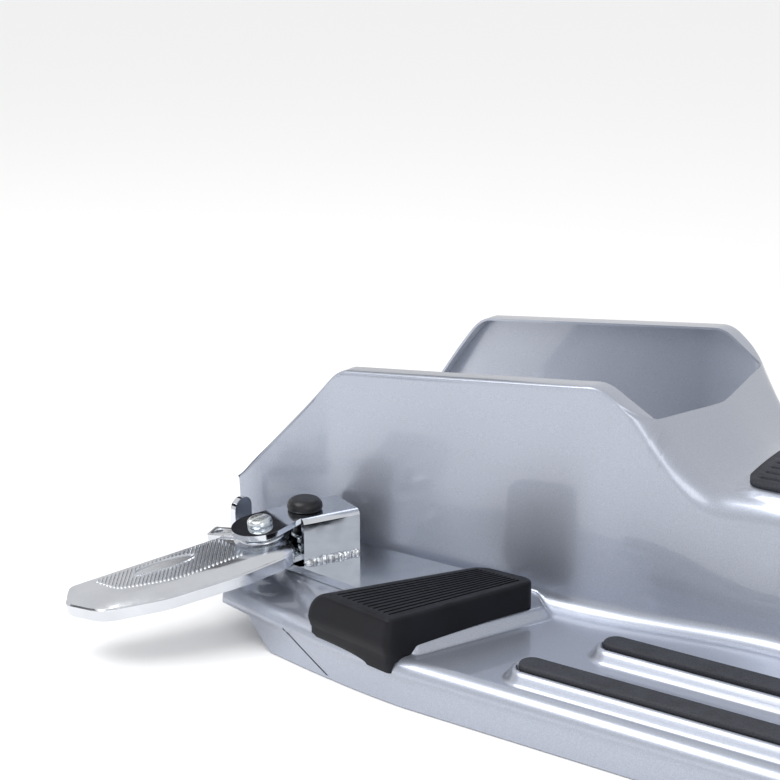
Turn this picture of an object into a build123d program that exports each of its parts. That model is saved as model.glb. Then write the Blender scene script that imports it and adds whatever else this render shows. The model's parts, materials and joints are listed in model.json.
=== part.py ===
"""Scooter floorboard: a pressed steel floor with its tunnel and rear upstand walls, rubber strips,
a tunnel mat, and on each side a heel pad and a folding passenger footpeg on its bracket.

Millimetres. +X points to the front of the scooter, +Y to its left, +Z up. The origin is the centre
of the four frame bolts, in the plane of the skirt flanges that the floorboard rests on.
"""
from build123d import *
import math
import os

# Pressed steel panel
SHEET = 1.6
FRONT_X = 170
REAR_X = -395
SKIRT_DEPTH = 28
FLOOR_HALF = 214
EDGE_RADIUS = 9
FLANGE_WIDTH = 24
TAPER_START_X = -180
TAPER_INSET = 42
TAPER_POWER = 1.5
STATION_COUNT = 16

# Tunnel and rear upstand walls: heights are above the floor, half widths are from the centre plane
COVE_RADIUS = 10
SHOULDER_RADIUS = 16
CROWN_RADIUS = 180
TUNNEL_FOOT_HALF = 74
WALL_FOOT_HALF = 90
REAR_FOOT_HALF = 112
TUNNEL_TOP_HALF = 64
WALL_TOP_HALF = 97
REAR_TOP_HALF = 122
TUNNEL_HEIGHT = 85
CROWN_RISE = 8
WALL_HEIGHT = 180
FLARE_START_X = -15
FLARE_END_X = -150
RISE_START_X = -56
RISE_END_X = -150
REAR_FLARE_X = -322

# Trimmed edges of the upstand walls, seen from the side
SEAM_FRONT_X = -128
SEAM_FRONT_HEIGHT = 146
SEAM_REAR_X = -319
SEAM_REAR_HEIGHT = 126
TIP_HEIGHT = 44
TIP_X = -388
FLAP_CORNER_X = -78
FLAP_CORNER_HEIGHT = 113
FLAP_FOOT_X = -66
FLAP_FOOT_HEIGHT = 104
SEAM_RADIUS = 9
EDGE_END_X = -342
LIP_WIDTH = 9

# Rear end of the skirts, seen from the side: a slanted end and a slit ahead of it
SKIRT_END_X = -296
SKIRT_TAIL_X = -316
SKIRT_TAIL_Z = 18
SLIT_FOOT_X = -238
SLIT_TOP_X = -284
SLIT_TOP_Z = 20
SLIT_WIDTH = 1.5

# Ribs that hold the rubber strips
RIB_HEIGHT = 7.5
RIB_RIM = 2.2
RIB_TAPER = 24
STRIP_WIDTH = 15.5
STRIP_PROUD = 3
STRIP_ROUNDING = 1.8
SOCKET_DEPTH = 4
SOCKET_GAP = 0.25
SOCKET_END_GAP = 1.2
STRIP_FRONT_X = 130
OUTER_STRIP_Y = 189
OUTER_STRIP_X = -120
INNER_STRIP_Y = 136
INNER_STRIP_X = -95
STUD_COUNT = 4
STUD_RADIUS = 2.5
STUD_GAP = 0.1
BARB_RADIUS = 3.6
BARB_HEIGHT = 3

# Tunnel mat and its raised seat
MAT_REAR_X = -50
MAT_FRONT_X = 140
MAT_HALF = 54
MAT_THICKNESS = 4
MAT_CORNER = 10
SEAT_MARGIN = 5
SEAT_HEIGHT = 2.5
MAT_GROOVES = 13
MAT_GROOVE_WIDTH = 3
MAT_GROOVE_DEPTH = 2
MAT_BORDER = 7

# Plinth under the heel pad and the bracket plate
PLINTH_HEIGHT = 7
PLINTH_TAPER = 27
PLINTH_MARGIN = 6
PLINTH_EDGE_INSET = 13
PLINTH_INNER_SHIFT = 0.06
PLINTH_OUTER_SHIFT = 0.1

# Heel pad, its corners in plan on the right-hand side
PAD_FRONT_OUTER = (-192, -217)
PAD_FRONT_INNER = (-154, -112)
PAD_REAR_INNER = (-206, -112)
PAD_REAR_OUTER = (-260, -205.5)
PAD_TOP = 25
PAD_SKIRT = 9
PAD_CORNER = 7
PAD_ROUNDING = 3
PAD_ROLL_RADIUS = 12
PAD_GROOVES = 11
PAD_GROOVE_PITCH = 4.4
PAD_GROOVE_WIDTH = 2.2
PAD_GROOVE_DEPTH = 2.4
PAD_GROOVE_ANGLE = 64
PAD_GROOVE_SETBACK = 7
PAD_CLEARANCE = 0.3

# Base plate of the footpeg bracket
PLATE_THICKNESS = 5
PLATE_CORNER = 14
PLATE_WALL_GAP = 6
PLATE_FRONT_X = -172
PLATE_REAR_X = -370
PLATE_OUTER_FRONT = (-205, -166)
PLATE_OUTER_REAR = (-288, -156)
EAR_Y = -135
EAR_WIDTH = 17
EAR_THICKNESS = 4
EAR_HEIGHT = 29
EAR_ROUNDING = 7.6

# Folding footpeg: pivot place, bracket direction in plan and the tilt of the pivot
PIVOT_X = -329.7
PIVOT_Y = -162.4
PIVOT_HEIGHT = 38.5
BRACKET_ANGLE = 246
PIVOT_TILT = 8
PEG_YAW = -5

# Bracket: a folded channel whose top runs out into a round tab
BRACKET_SHEET = 3.5
BOX_START = 23
BOX_LENGTH = 41
BOX_FRONT = 16
BOX_REAR = 19
BEND_RADIUS = 4
TAB_RADIUS = 18.5
LOWER_TAB_RADIUS = 13.5
LOWER_TAB_REACH = 33
WELD_SIZE = 4

# Pivot stack along the tilted axis, from the top of the tab down
SCREW_RADIUS = 4
SCREW_GAP = 0.05
SCREW_HEAD_RADIUS = 8
SCREW_HEAD_HEIGHT = 4.6
SCREW_HEAD_ROUNDING = 2.8
SLOT_WIDTH = 1.8
SLOT_DEPTH = 1.8
WASHER_RADIUS = 15
WASHER_THICKNESS = 1.5
SPRING_WASHER_RADIUS = 13.5
SPRING_WASHER_THICKNESS = 1.6
LOWER_WASHER_RADIUS = 12
RUN_GAP = 0.1
NUT_FLATS = 13
NUT_HEIGHT = 5.5
SCREW_END = 1.5

# Footpeg casting, in its own plane: u runs outwards along the blade, v to the front
BLADE_POINTS = [(18, -17), (117, -11), (132, 3), (117, 27), (78, 37), (26, 37), (-8, 31), (-14, 18), (-14, -4)]
BLADE_RADII = [4, 12, 14, 24, 60, 60, 16, 6, 4]
TREAD_POINTS = [(24, -16), (110, -10.5), (101, 11), (66, 23), (17, 17.5)]
TREAD_RADII = [2, 4, 12, 60, 4]
HUB_RADIUS = 15
HUB_FOOT_RADIUS = 18
HUB_RISE = 4.2
BLADE_THICKNESS = 11
BLADE_ROUNDING = 2
BLADE_POCKET_WALL = 4.5
BLADE_POCKET_DEPTH = 6.5
TREAD_RISE = 0.8
TREAD_PITCH = 2.4
TREAD_GROOVE_DEPTH = 0.7
TREAD_ANGLE = 64
BADGE_U = 65
BADGE_V = -2
BADGE_LENGTH = 40
BADGE_WIDTH = 12
LUG_U = 20
LUG_V = -24
LUG_WIDTH = 11
LUG_HOLE_RADIUS = 2.6
LUG_RISE = 3

# Rubber stop buffer in the bracket's top
BUFFER_REACH = 33.5
BUFFER_SIDE = -2
BUFFER_RADIUS = 11.5
BUFFER_HEIGHT = 8
BUFFER_ROUNDING = 5.4
BUFFER_FOOT_ROUNDING = 2
BUFFER_NECK = 6
BUFFER_SLEEVE_RADIUS = 8
BUFFER_SLEEVE_LENGTH = 12
BUFFER_STUD_RADIUS = 3
BUFFER_NUT_FLATS = 10
BUFFER_NUT_HEIGHT = 5
BUFFER_WASHER_RADIUS = 9
BUFFER_WASHER_THICKNESS = 1.2

# Screws that hold the base plate
PLATE_SCREWS = ((-190, -124), (-222, -156), (-338, -114))
PLATE_SCREW_RADIUS = 3
PLATE_SCREW_GAP = 0.2
PLATE_HEAD_RADIUS = 5.5
PLATE_HEAD_HEIGHT = 3.2
PLATE_HEAD_ROUNDING = 2.2
PLATE_NUT_FLATS = 10
PLATE_NUT_HEIGHT = 5

# Frame bolt holes through the skirt flanges
BOLT_SPACING_X = 220
BOLT_SPACING_Y = 404
BOLT_HOLE_RADIUS = 4.25

# Derived planes
UP = (0, 0, 1)
PLINTH_Z = SKIRT_DEPTH + PLINTH_HEIGHT
PLATE_Z = PLINTH_Z + PLATE_THICKNESS
RIB_Z = SKIRT_DEPTH + RIB_HEIGHT
PIVOT_Z = SKIRT_DEPTH + PIVOT_HEIGHT
BOX_TOP_Z = PIVOT_Z + BOX_START * math.tan(math.radians(PIVOT_TILT))
BRACKET = Pos(PIVOT_X, PIVOT_Y, 0) * Rot(0, 0, BRACKET_ANGLE)
PIVOT = BRACKET * Pos(0, 0, PIVOT_Z) * Rot(0, PIVOT_TILT, 0)
WASHER_TOP = -BRACKET_SHEET
SPRING_TOP = WASHER_TOP - WASHER_THICKNESS
HUB_TOP = SPRING_TOP - SPRING_WASHER_THICKNESS - RUN_GAP
BLADE_TOP = HUB_TOP - HUB_RISE
HUB_BOTTOM = BLADE_TOP - BLADE_THICKNESS
LOWER_WASHER_TOP = HUB_BOTTOM - RUN_GAP
LOWER_TAB_TOP = LOWER_WASHER_TOP - WASHER_THICKNESS
NUT_TOP = LOWER_TAB_TOP - BRACKET_SHEET
SCREW_BOTTOM = NUT_TOP - NUT_HEIGHT - SCREW_END
SLEEVE_END = -BRACKET_SHEET - BUFFER_SLEEVE_LENGTH
BUFFER_END = SLEEVE_END - BUFFER_WASHER_THICKNESS - BUFFER_NUT_HEIGHT


def ease(value, start, end):
    """Share of the way from start to end, with soft ends."""
    share = min(max((value - start) / (end - start), 0), 1)
    return share * share * (3 - 2 * share)


def blend(low, high, share):
    return low + (high - low) * share


def edge_half(x):
    """Half width of the floor, which narrows behind the taper's start."""
    share = max((TAPER_START_X - x) / (TAPER_START_X - REAR_X), 0)
    return FLOOR_HALF - TAPER_INSET * share ** TAPER_POWER


def foot_half(x):
    """Half width at the wall's foot."""
    foot = blend(TUNNEL_FOOT_HALF, WALL_FOOT_HALF, ease(x, FLARE_START_X, FLARE_END_X))
    return foot + (REAR_FOOT_HALF - WALL_FOOT_HALF) * ease(x, REAR_FLARE_X, REAR_X)


def top_half(x):
    """Half width at the wall's shoulder."""
    top = blend(TUNNEL_TOP_HALF, WALL_TOP_HALF, ease(x, FLARE_START_X, FLARE_END_X))
    return top + (REAR_TOP_HALF - WALL_TOP_HALF) * ease(x, REAR_FLARE_X, REAR_X)


def skin_section(x, inset):
    """Closed cross section of the panel's skin at x, moved in by inset."""
    floor = SKIRT_DEPTH - inset
    shoulder = floor + blend(TUNNEL_HEIGHT, WALL_HEIGHT, ease(x, RISE_START_X, RISE_END_X))
    edge = edge_half(x) - inset
    foot = foot_half(x) - inset
    top = top_half(x) - inset
    right = [(-edge, inset), (-edge, floor), (-foot, floor), (-top, shoulder)]
    left = [(-y, z) for y, z in reversed(right)]
    side_radii = [EDGE_RADIUS - inset, COVE_RADIUS + inset, SHOULDER_RADIUS - inset]
    radii = [*side_radii, CROWN_RADIUS, *reversed(side_radii)]
    with BuildSketch(Plane.YZ.offset(x)) as section:
        with BuildLine():
            FilletPolyline(*right, (0, shoulder + CROWN_RISE), *left, radius=radii)
            Line(left[-1], right[0])
        make_face()
    return section.sketch


def skin(inset):
    """Solid under the panel's skin: straight to the front, then a run of even stations to the rear."""
    span = REAR_X - EDGE_RADIUS - FLARE_START_X
    stations = [FRONT_X + EDGE_RADIUS]
    stations += [FLARE_START_X + span * index / STATION_COUNT for index in range(STATION_COUNT + 1)]
    return loft([skin_section(x, inset) for x in stations], ruled=True)


def both(part):
    """The part and its mirror image."""
    return part + mirror(part, about=Plane.XZ)


def stadium(rear_x, front_x, width):
    """Slot outline along X with round ends."""
    length = front_x - rear_x
    return Pos((rear_x + front_x) / 2, 0) * SlotOverall(length, width)


def strip_ends(rear_x):
    """Socket outline of a strip."""
    return stadium(rear_x - SOCKET_END_GAP, STRIP_FRONT_X + SOCKET_GAP, STRIP_WIDTH + 2 * SOCKET_GAP)


def rib(y, rear_x, inset):
    """Raised rib around a strip's socket."""
    run = RIB_HEIGHT * math.tan(math.radians(RIB_TAPER))
    outline = offset(strip_ends(rear_x), RIB_RIM + run - inset)
    return Pos(0, y, SKIRT_DEPTH - inset) * extrude(outline, RIB_HEIGHT, taper=RIB_TAPER)


def socket(y, rear_x, inset):
    """Recess in the rib, grown by inset for the sheet under it."""
    outline = offset(strip_ends(rear_x), inset) if inset else strip_ends(rear_x)
    return Pos(0, y, RIB_Z - SOCKET_DEPTH - inset) * extrude(outline, SOCKET_DEPTH + 2 * inset + 1)


def stud_places(y, rear_x):
    """Places of a strip's studs along its length."""
    step = (STRIP_FRONT_X - rear_x) / STUD_COUNT
    return [(rear_x + step * (index + 0.5), y) for index in range(STUD_COUNT)]


def plinth_outline():
    """Plan outline of the right-hand plinth: along the pad's front, the floor's edge and the wall."""
    direction = Vector(*PAD_FRONT_INNER) - Vector(*PAD_FRONT_OUTER)
    ahead = direction.normalized().rotate(Axis.Z, -90) * PLINTH_MARGIN
    inner = Vector(*PAD_FRONT_INNER) + ahead + direction * PLINTH_INNER_SHIFT
    outer = Vector(*PAD_FRONT_OUTER) + ahead + direction * PLINTH_OUTER_SHIFT
    wall = [(PAD_REAR_INNER[0], -WALL_FOOT_HALF / 2), (REAR_X - EDGE_RADIUS, -WALL_FOOT_HALF / 2)]
    rear = [(REAR_X - EDGE_RADIUS, EAR_Y), (PIVOT_X, PIVOT_Y + NUT_FLATS)]
    edge = (PAD_REAR_OUTER[0], PLINTH_EDGE_INSET - edge_half(PAD_REAR_OUTER[0]))
    corners = Polyline((inner.X, inner.Y), *wall, *rear, edge, (outer.X, outer.Y), close=True)
    return fillet(make_face(corners).vertices(), PLINTH_MARGIN)


def plinth(inset):
    outline = offset(plinth_outline(), -inset) if inset else plinth_outline()
    return Pos(0, 0, SKIRT_DEPTH - inset) * extrude(outline, PLINTH_HEIGHT, taper=PLINTH_TAPER)


def crown_z(y):
    """Height of the tunnel's crown at y, before its rounding."""
    return SKIRT_DEPTH + TUNNEL_HEIGHT + CROWN_RISE * (1 - abs(y) / TUNNEL_TOP_HALF)


def crown_slab(rise, margin, foot):
    """Slab over the tunnel that follows its crown, rise above it."""
    half = MAT_HALF + margin
    side = crown_z(half) + rise
    middle = crown_z(0) + rise - CROWN_RISE / 4
    with BuildSketch(Plane.YZ.offset(MAT_REAR_X - margin)) as section:
        with BuildLine():
            ThreePointArc((-half, side), (0, middle), (half, side))
            Polyline((half, side), (half, foot), (-half, foot), (-half, side))
        make_face()
    slab = extrude(section.sketch, MAT_FRONT_X - MAT_REAR_X + 2 * margin)
    return fillet(slab.edges().filter_by(Axis.Z), MAT_CORNER + margin)


def seat(inset):
    return crown_slab(SEAT_HEIGHT - inset, SEAT_MARGIN - inset, crown_z(TUNNEL_TOP_HALF) - SHOULDER_RADIUS)


def side_profile():
    """Outline of the panel from the side, inside which the skin is kept."""
    points = [
        (FRONT_X, 0),
        (FRONT_X, WALL_HEIGHT),
        (FLAP_FOOT_X, WALL_HEIGHT),
        (FLAP_FOOT_X, SKIRT_DEPTH + FLAP_FOOT_HEIGHT),
        (FLAP_CORNER_X, SKIRT_DEPTH + FLAP_CORNER_HEIGHT),
        (SEAM_FRONT_X, SKIRT_DEPTH + SEAM_FRONT_HEIGHT),
        (SEAM_REAR_X, SKIRT_DEPTH + SEAM_REAR_HEIGHT),
        (TIP_X, SKIRT_DEPTH + TIP_HEIGHT),
        (REAR_X + EDGE_RADIUS, SKIRT_TAIL_Z),
        (SKIRT_TAIL_X, SKIRT_TAIL_Z),
        (SKIRT_END_X, 0),
    ]
    outline = make_face(Polyline(*[(x, 0, z) for x, z in points], close=True))
    upper = [v for v in outline.vertices() if v.Z > SKIRT_DEPTH + FLAP_FOOT_HEIGHT + SHEET]
    return fillet([v for v in upper if v.X < FLAP_FOOT_X - SHEET], SEAM_RADIUS)


def side_prism():
    return extrude(side_profile(), FLOOR_HALF + EDGE_RADIUS, both=True)


def plan_prism():
    """Keeps the panel inside its rear edges, which slant from the wall's tip to the floor's edge."""
    side = FLOOR_HALF + EDGE_RADIUS
    right = [(FRONT_X, -side), (EDGE_END_X + EDGE_RADIUS, -side), (EDGE_END_X, -edge_half(EDGE_END_X))]
    right.append((REAR_X + EDGE_RADIUS, -REAR_FOOT_HALF))
    left = [(x, -y) for x, y in reversed(right)]
    return extrude(make_face(Polyline(*right, *left, close=True)), 2 * WALL_HEIGHT, dir=UP)


def skirt_slit():
    """Slanted slit through both skirts, from the flange up to the edge's rounding."""
    foot = (SLIT_FOOT_X, -SHEET)
    top = (SLIT_TOP_X, SLIT_TOP_Z)
    corners = [foot, (foot[0] + SLIT_WIDTH, foot[1]), (top[0] + SLIT_WIDTH, top[1]), top]
    outline = make_face(Polyline(*[(x, 0, z) for x, z in corners], close=True))
    return extrude(outline, FLOOR_HALF + EDGE_RADIUS, both=True)


def lip(skin_solid):
    """Narrow flange turned inwards along the upstand's trimmed edge."""
    band = side_prism() - Pos(0, 0, -SHEET) * side_prism()
    behind = Box(-2 * REAR_X, 4 * FLOOR_HALF, 3 * WALL_HEIGHT, align=(Align.MAX, Align.CENTER, Align.MIN))
    band = band & Pos(FLAP_FOOT_X, 0, 0) * behind
    stations = (FLAP_FOOT_X + EDGE_RADIUS, SEAM_FRONT_X, SEAM_REAR_X, REAR_X - EDGE_RADIUS)
    bay = [Plane.YZ.offset(x) * Pos(0, WALL_HEIGHT) * Rectangle(2 * (foot_half(x) - LIP_WIDTH), 2 * WALL_HEIGHT)
           for x in stations]
    return (band & skin_solid) - loft(bay)


def flange_opening():
    """Opening between the skirt flanges, right through the underside."""
    stations = (FRONT_X + EDGE_RADIUS, TAPER_START_X, SEAM_REAR_X, REAR_X - EDGE_RADIUS)
    right = [(x, FLANGE_WIDTH - edge_half(x)) for x in stations]
    left = [(x, -y) for x, y in reversed(right)]
    return Pos(0, 0, -SHEET) * extrude(make_face(Polyline(*right, *left, close=True)), 3 * SHEET, dir=UP)


def strips():
    return ((OUTER_STRIP_Y, OUTER_STRIP_X), (INNER_STRIP_Y, INNER_STRIP_X))


def floor_panel(outer):
    inner = skin(SHEET) + both(plinth(SHEET)) + seat(SHEET)
    for y, rear_x in strips():
        hollow = rib(y, rear_x, SHEET) - socket(y, rear_x, SHEET)
        inner += both(hollow)
    panel = (outer - inner) & side_prism() & plan_prism()
    panel += lip(outer)
    panel -= flange_opening()
    panel -= skirt_slit()
    bolts = GridLocations(BOLT_SPACING_X, BOLT_SPACING_Y, 2, 2)
    holes = [place * Cylinder(BOLT_HOLE_RADIUS, 4 * SHEET) for place in bolts]
    for y, rear_x in strips():
        for x, side in stud_places(y, rear_x):
            holes.append(both(Pos(x, side, RIB_Z - SOCKET_DEPTH) * Cylinder(STUD_RADIUS + STUD_GAP, 4 * SHEET)))
    for x, y in PLATE_SCREWS:
        holes.append(both(Pos(x, y, PLINTH_Z) * Cylinder(PLATE_SCREW_RADIUS + PLATE_SCREW_GAP, 4 * SHEET)))
    return panel - holes


def skin_with_pressings():
    """Outer face of the panel as a solid, with its ribs, plinths and mat seat."""
    outer = skin(0) + both(plinth(0)) + seat(0)
    for y, rear_x in strips():
        outer += both(rib(y, rear_x, 0))
    return outer - [both(socket(y, rear_x, 0)) for y, rear_x in strips()]


def rubber_strip(y, rear_x):
    """Rubber strip with round ends, held by barbed studs through the rib."""
    height = SOCKET_DEPTH + STRIP_PROUD
    body = extrude(stadium(rear_x, STRIP_FRONT_X, STRIP_WIDTH), height)
    body = fillet(body.faces().sort_by(Axis.Z)[-1].edges(), STRIP_ROUNDING)
    strip = Pos(0, y, RIB_Z - SOCKET_DEPTH) * body
    for x, side in stud_places(y, rear_x):
        stud = Cylinder(STUD_RADIUS, SHEET, align=(Align.CENTER, Align.CENTER, Align.MAX))
        barb = Cone(STUD_RADIUS, BARB_RADIUS, BARB_HEIGHT, align=(Align.CENTER, Align.CENTER, Align.MAX))
        strip += Pos(x, side, RIB_Z - SOCKET_DEPTH) * (stud + Pos(0, 0, -SHEET) * barb)
    return strip


def tunnel_mat(outer):
    """Ribbed mat that follows the tunnel's crown inside its seat."""
    mat = crown_slab(SEAT_HEIGHT + MAT_THICKNESS, 0, crown_z(TUNNEL_TOP_HALF))
    pitch = 2 * (MAT_HALF - MAT_BORDER) / (MAT_GROOVES - 1)
    length = MAT_FRONT_X - MAT_REAR_X - 2 * MAT_BORDER
    top = SEAT_HEIGHT + MAT_THICKNESS - MAT_GROOVE_DEPTH
    grooves = []
    for index in range(MAT_GROOVES):
        y = pitch * index - MAT_HALF + MAT_BORDER
        place = Pos((MAT_FRONT_X + MAT_REAR_X) / 2, y, crown_z(y) + top)
        foot = (Align.CENTER, Align.CENTER, Align.MIN)
        grooves.append(place * Box(length, MAT_GROOVE_WIDTH, 4 * MAT_GROOVE_DEPTH, align=foot))
    return mat - grooves - outer


def pad_roll():
    """Cutter along the pad's rear edge that rolls its top down to the rear."""
    start = Vector(*PAD_REAR_OUTER)
    along = (Vector(*PAD_REAR_INNER) - start).normalized()
    section = Plane(origin=start, x_dir=along.rotate(Axis.Z, -90), z_dir=-along)
    top = SKIRT_DEPTH + PAD_TOP
    corner = Pos(0, top) * Rectangle(2 * PAD_ROLL_RADIUS, 2 * PAD_ROLL_RADIUS)
    corner -= Pos(PAD_ROLL_RADIUS, top - PAD_ROLL_RADIUS) * Circle(PAD_ROLL_RADIUS)
    return extrude(section * corner, FLOOR_HALF, both=True)


def heel_pad(outer, plate):
    """Grooved rubber pad on the plinth, which reaches down over the floor's edge."""
    corners = [PAD_FRONT_OUTER, PAD_FRONT_INNER, PAD_REAR_INNER, PAD_REAR_OUTER]
    outline = make_face(Polyline(*corners, close=True))
    outline = fillet(outline.vertices(), PAD_CORNER)
    base = SKIRT_DEPTH - PAD_SKIRT
    pad = Pos(0, 0, base) * extrude(outline, PAD_TOP + PAD_SKIRT, dir=UP)
    pad = fillet(pad.faces().sort_by(Axis.Z)[-1].edges(), PAD_ROUNDING) - pad_roll()
    front = (Vector(*PAD_FRONT_OUTER) + Vector(*PAD_FRONT_INNER)) / 2
    rear = (Vector(*PAD_REAR_OUTER) + Vector(*PAD_REAR_INNER)) / 2
    back = (rear - front).rotate(Axis.Z, -PAD_GROOVE_ANGLE)
    length = (Vector(*PAD_FRONT_INNER) - Vector(*PAD_FRONT_OUTER)).length - 2 * PAD_CORNER
    frame = Pos(front.X, front.Y, SKIRT_DEPTH + PAD_TOP - PAD_GROOVE_DEPTH) * Rot(0, 0, PAD_GROOVE_ANGLE)
    grooves = []
    for index in range(PAD_GROOVES):
        across = PAD_GROOVE_SETBACK + PAD_GROOVE_PITCH * index
        groove = Pos(across * back.X / back.Y, across) * SlotOverall(length, PAD_GROOVE_WIDTH)
        grooves.append(frame * extrude(groove, 2 * PAD_GROOVE_DEPTH))
    pad -= grooves
    depth = PLATE_HEAD_HEIGHT + PAD_CLEARANCE + PLATE_THICKNESS
    pocket = Cylinder(PLATE_HEAD_RADIUS + PAD_CLEARANCE, depth, align=(Align.CENTER, Align.CENTER, Align.MIN))
    return pad - outer - plate - [Pos(x, y, PLINTH_Z) * pocket for x, y in PLATE_SCREWS]


def base_plate():
    """Steel plate on the plinth, with an upright ear that stops the folded peg."""
    inner = [(x, -foot_half(x) - PLATE_WALL_GAP) for x in (PLATE_FRONT_X, REAR_FLARE_X, PLATE_REAR_X)]
    ear_edge = (PLATE_REAR_X, EAR_Y - EAR_WIDTH / 2)
    outline = make_face(Polyline(*inner, ear_edge, PLATE_OUTER_REAR, PLATE_OUTER_FRONT, close=True))
    corners = [v for v in outline.vertices() if v.X > REAR_FLARE_X + PLATE_CORNER]
    outline = fillet(corners, PLATE_CORNER)
    plate = Pos(0, 0, PLINTH_Z) * extrude(outline, PLATE_THICKNESS, dir=UP)
    tongue = Rectangle(EAR_WIDTH, EAR_HEIGHT, align=(Align.CENTER, Align.MIN))
    tongue = fillet(tongue.vertices().group_by(Axis.Y)[-1], EAR_ROUNDING)
    plate += Pos(PLATE_REAR_X, EAR_Y, PLATE_Z) * extrude(Plane.YZ * tongue, EAR_THICKNESS)
    holes = [Pos(x, y, PLINTH_Z) * Cylinder(PLATE_SCREW_RADIUS + PLATE_SCREW_GAP, 3 * PLATE_THICKNESS)
             for x, y in PLATE_SCREWS]
    return plate - holes


def bracket():
    """Folded channel over the plate, with an upper tab and a lower tab for the pivot."""
    depth = BOX_FRONT + BOX_REAR
    middle = (BOX_FRONT - BOX_REAR) / 2
    height = BOX_TOP_Z - PLATE_Z
    floor = (Align.MAX, Align.CENTER, Align.MIN)
    box = Box(BOX_LENGTH, depth, height, align=floor)
    box = fillet(box.faces().sort_by(Axis.Z)[-1].edges().filter_by(Axis.X), BEND_RADIUS)
    hollow = Box(BOX_LENGTH, depth - 2 * BRACKET_SHEET, height - BRACKET_SHEET, align=floor)
    channel = BRACKET * Pos(-BOX_START, middle, PLATE_Z) * (box - hollow)
    reach = BOX_START / math.cos(math.radians(PIVOT_TILT))
    root = Rectangle(BRACKET_SHEET, depth - 2 * BEND_RADIUS, align=(Align.MIN, Align.CENTER))
    root = Pos(-reach, middle) * root
    tab = make_hull((Circle(TAB_RADIUS) + root).edges())
    channel += PIVOT * extrude(tab, -BRACKET_SHEET)
    inner = Rectangle(BRACKET_SHEET, depth - BRACKET_SHEET, align=(Align.MIN, Align.CENTER))
    inner = Pos(-LOWER_TAB_REACH, middle) * inner
    lower = make_hull((Circle(LOWER_TAB_RADIUS) + inner).edges())
    channel += PIVOT * Pos(0, 0, LOWER_TAB_TOP) * extrude(lower, -BRACKET_SHEET)
    bore = PIVOT * Cylinder(SCREW_RADIUS + SCREW_GAP, -4 * LOWER_TAB_TOP)
    neck = BRACKET * Pos(-BUFFER_REACH, BUFFER_SIDE, BOX_TOP_Z) * Cylinder(BUFFER_NECK, 4 * BRACKET_SHEET)
    return channel - bore - neck


def weld_bead():
    """Fillet weld along the channel's front foot."""
    profile = make_face(Polyline((0, 0), (WELD_SIZE, 0), (0, WELD_SIZE), close=True))
    bead = extrude(Plane.YZ * profile, -BOX_LENGTH)
    return BRACKET * Pos(-BOX_START, BOX_FRONT, PLATE_Z) * bead


def washer(radius, top, thickness):
    ring = Circle(radius) - Circle(SCREW_RADIUS + SCREW_GAP)
    return PIVOT * Pos(0, 0, top) * extrude(ring, -thickness)


def pivot_screw():
    """Slotted pan-head screw through the tabs and the peg's hub."""
    head = Cylinder(SCREW_HEAD_RADIUS, SCREW_HEAD_HEIGHT, align=(Align.CENTER, Align.CENTER, Align.MIN))
    head = fillet(head.faces().sort_by(Axis.Z)[-1].edges(), SCREW_HEAD_ROUNDING)
    head -= Pos(0, 0, SCREW_HEAD_HEIGHT) * Box(3 * SCREW_HEAD_RADIUS, SLOT_WIDTH, 2 * SLOT_DEPTH)
    shank = Cylinder(SCREW_RADIUS, -SCREW_BOTTOM, align=(Align.CENTER, Align.CENTER, Align.MAX))
    return PIVOT * (head + shank)


def hex_nut(flats, height, bore):
    return extrude(RegularPolygon(flats / 2, 6, major_radius=False) - Circle(bore), -height)


def pivot_nut():
    return PIVOT * Pos(0, 0, NUT_TOP) * hex_nut(NUT_FLATS, NUT_HEIGHT, SCREW_RADIUS)


def blade_outline():
    """Plan outline of the peg's blade, straight behind and bowed in front."""
    return make_face(FilletPolyline(*BLADE_POINTS, radius=BLADE_RADII, close=True))


def tread_outline():
    """Leaf-shaped tread on the blade's top."""
    return make_face(FilletPolyline(*TREAD_POINTS, radius=TREAD_RADII, close=True))


def footpeg():
    """Cast footpeg: bowed blade with a ridged tread, a hub on the pivot and a lug behind it."""
    outline = blade_outline()
    blade = extrude(outline, -BLADE_THICKNESS)
    blade = fillet(blade.faces().sort_by(Axis.Z)[-1].edges(), BLADE_ROUNDING)
    pocket = offset(outline, -BLADE_POCKET_WALL) - Circle(HUB_FOOT_RADIUS)
    blade -= Pos(0, 0, -BLADE_THICKNESS) * extrude(pocket, BLADE_POCKET_DEPTH)
    tread = extrude(tread_outline(), TREAD_RISE)
    tread -= tread_grooves()
    peg = blade + tread
    foot = (Align.CENTER, Align.CENTER, Align.MIN)
    peg += Cone(HUB_FOOT_RADIUS, HUB_RADIUS, HUB_RISE, align=foot)
    peg += Pos(0, 0, -BLADE_THICKNESS) * Cylinder(HUB_RADIUS, BLADE_THICKNESS, align=foot)
    lug = make_hull((Pos(LUG_U, LUG_V) * Circle(LUG_WIDTH / 2) + Circle(LUG_WIDTH / 2)).edges())
    peg += Pos(0, 0, LUG_RISE) * extrude(lug, -BLADE_THICKNESS + BLADE_POCKET_WALL)
    peg -= Pos(LUG_U, LUG_V, LUG_RISE) * Cylinder(LUG_HOLE_RADIUS, LUG_WIDTH)
    badge = Pos(BADGE_U, BADGE_V) * Ellipse(BADGE_LENGTH / 2, BADGE_WIDTH / 2)
    peg -= extrude(badge, 2 * TREAD_RISE)
    peg -= Cylinder(SCREW_RADIUS + SCREW_GAP, 6 * BLADE_THICKNESS)
    return PIVOT * Pos(0, 0, BLADE_TOP) * Rot(0, 0, PEG_YAW) * peg


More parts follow.
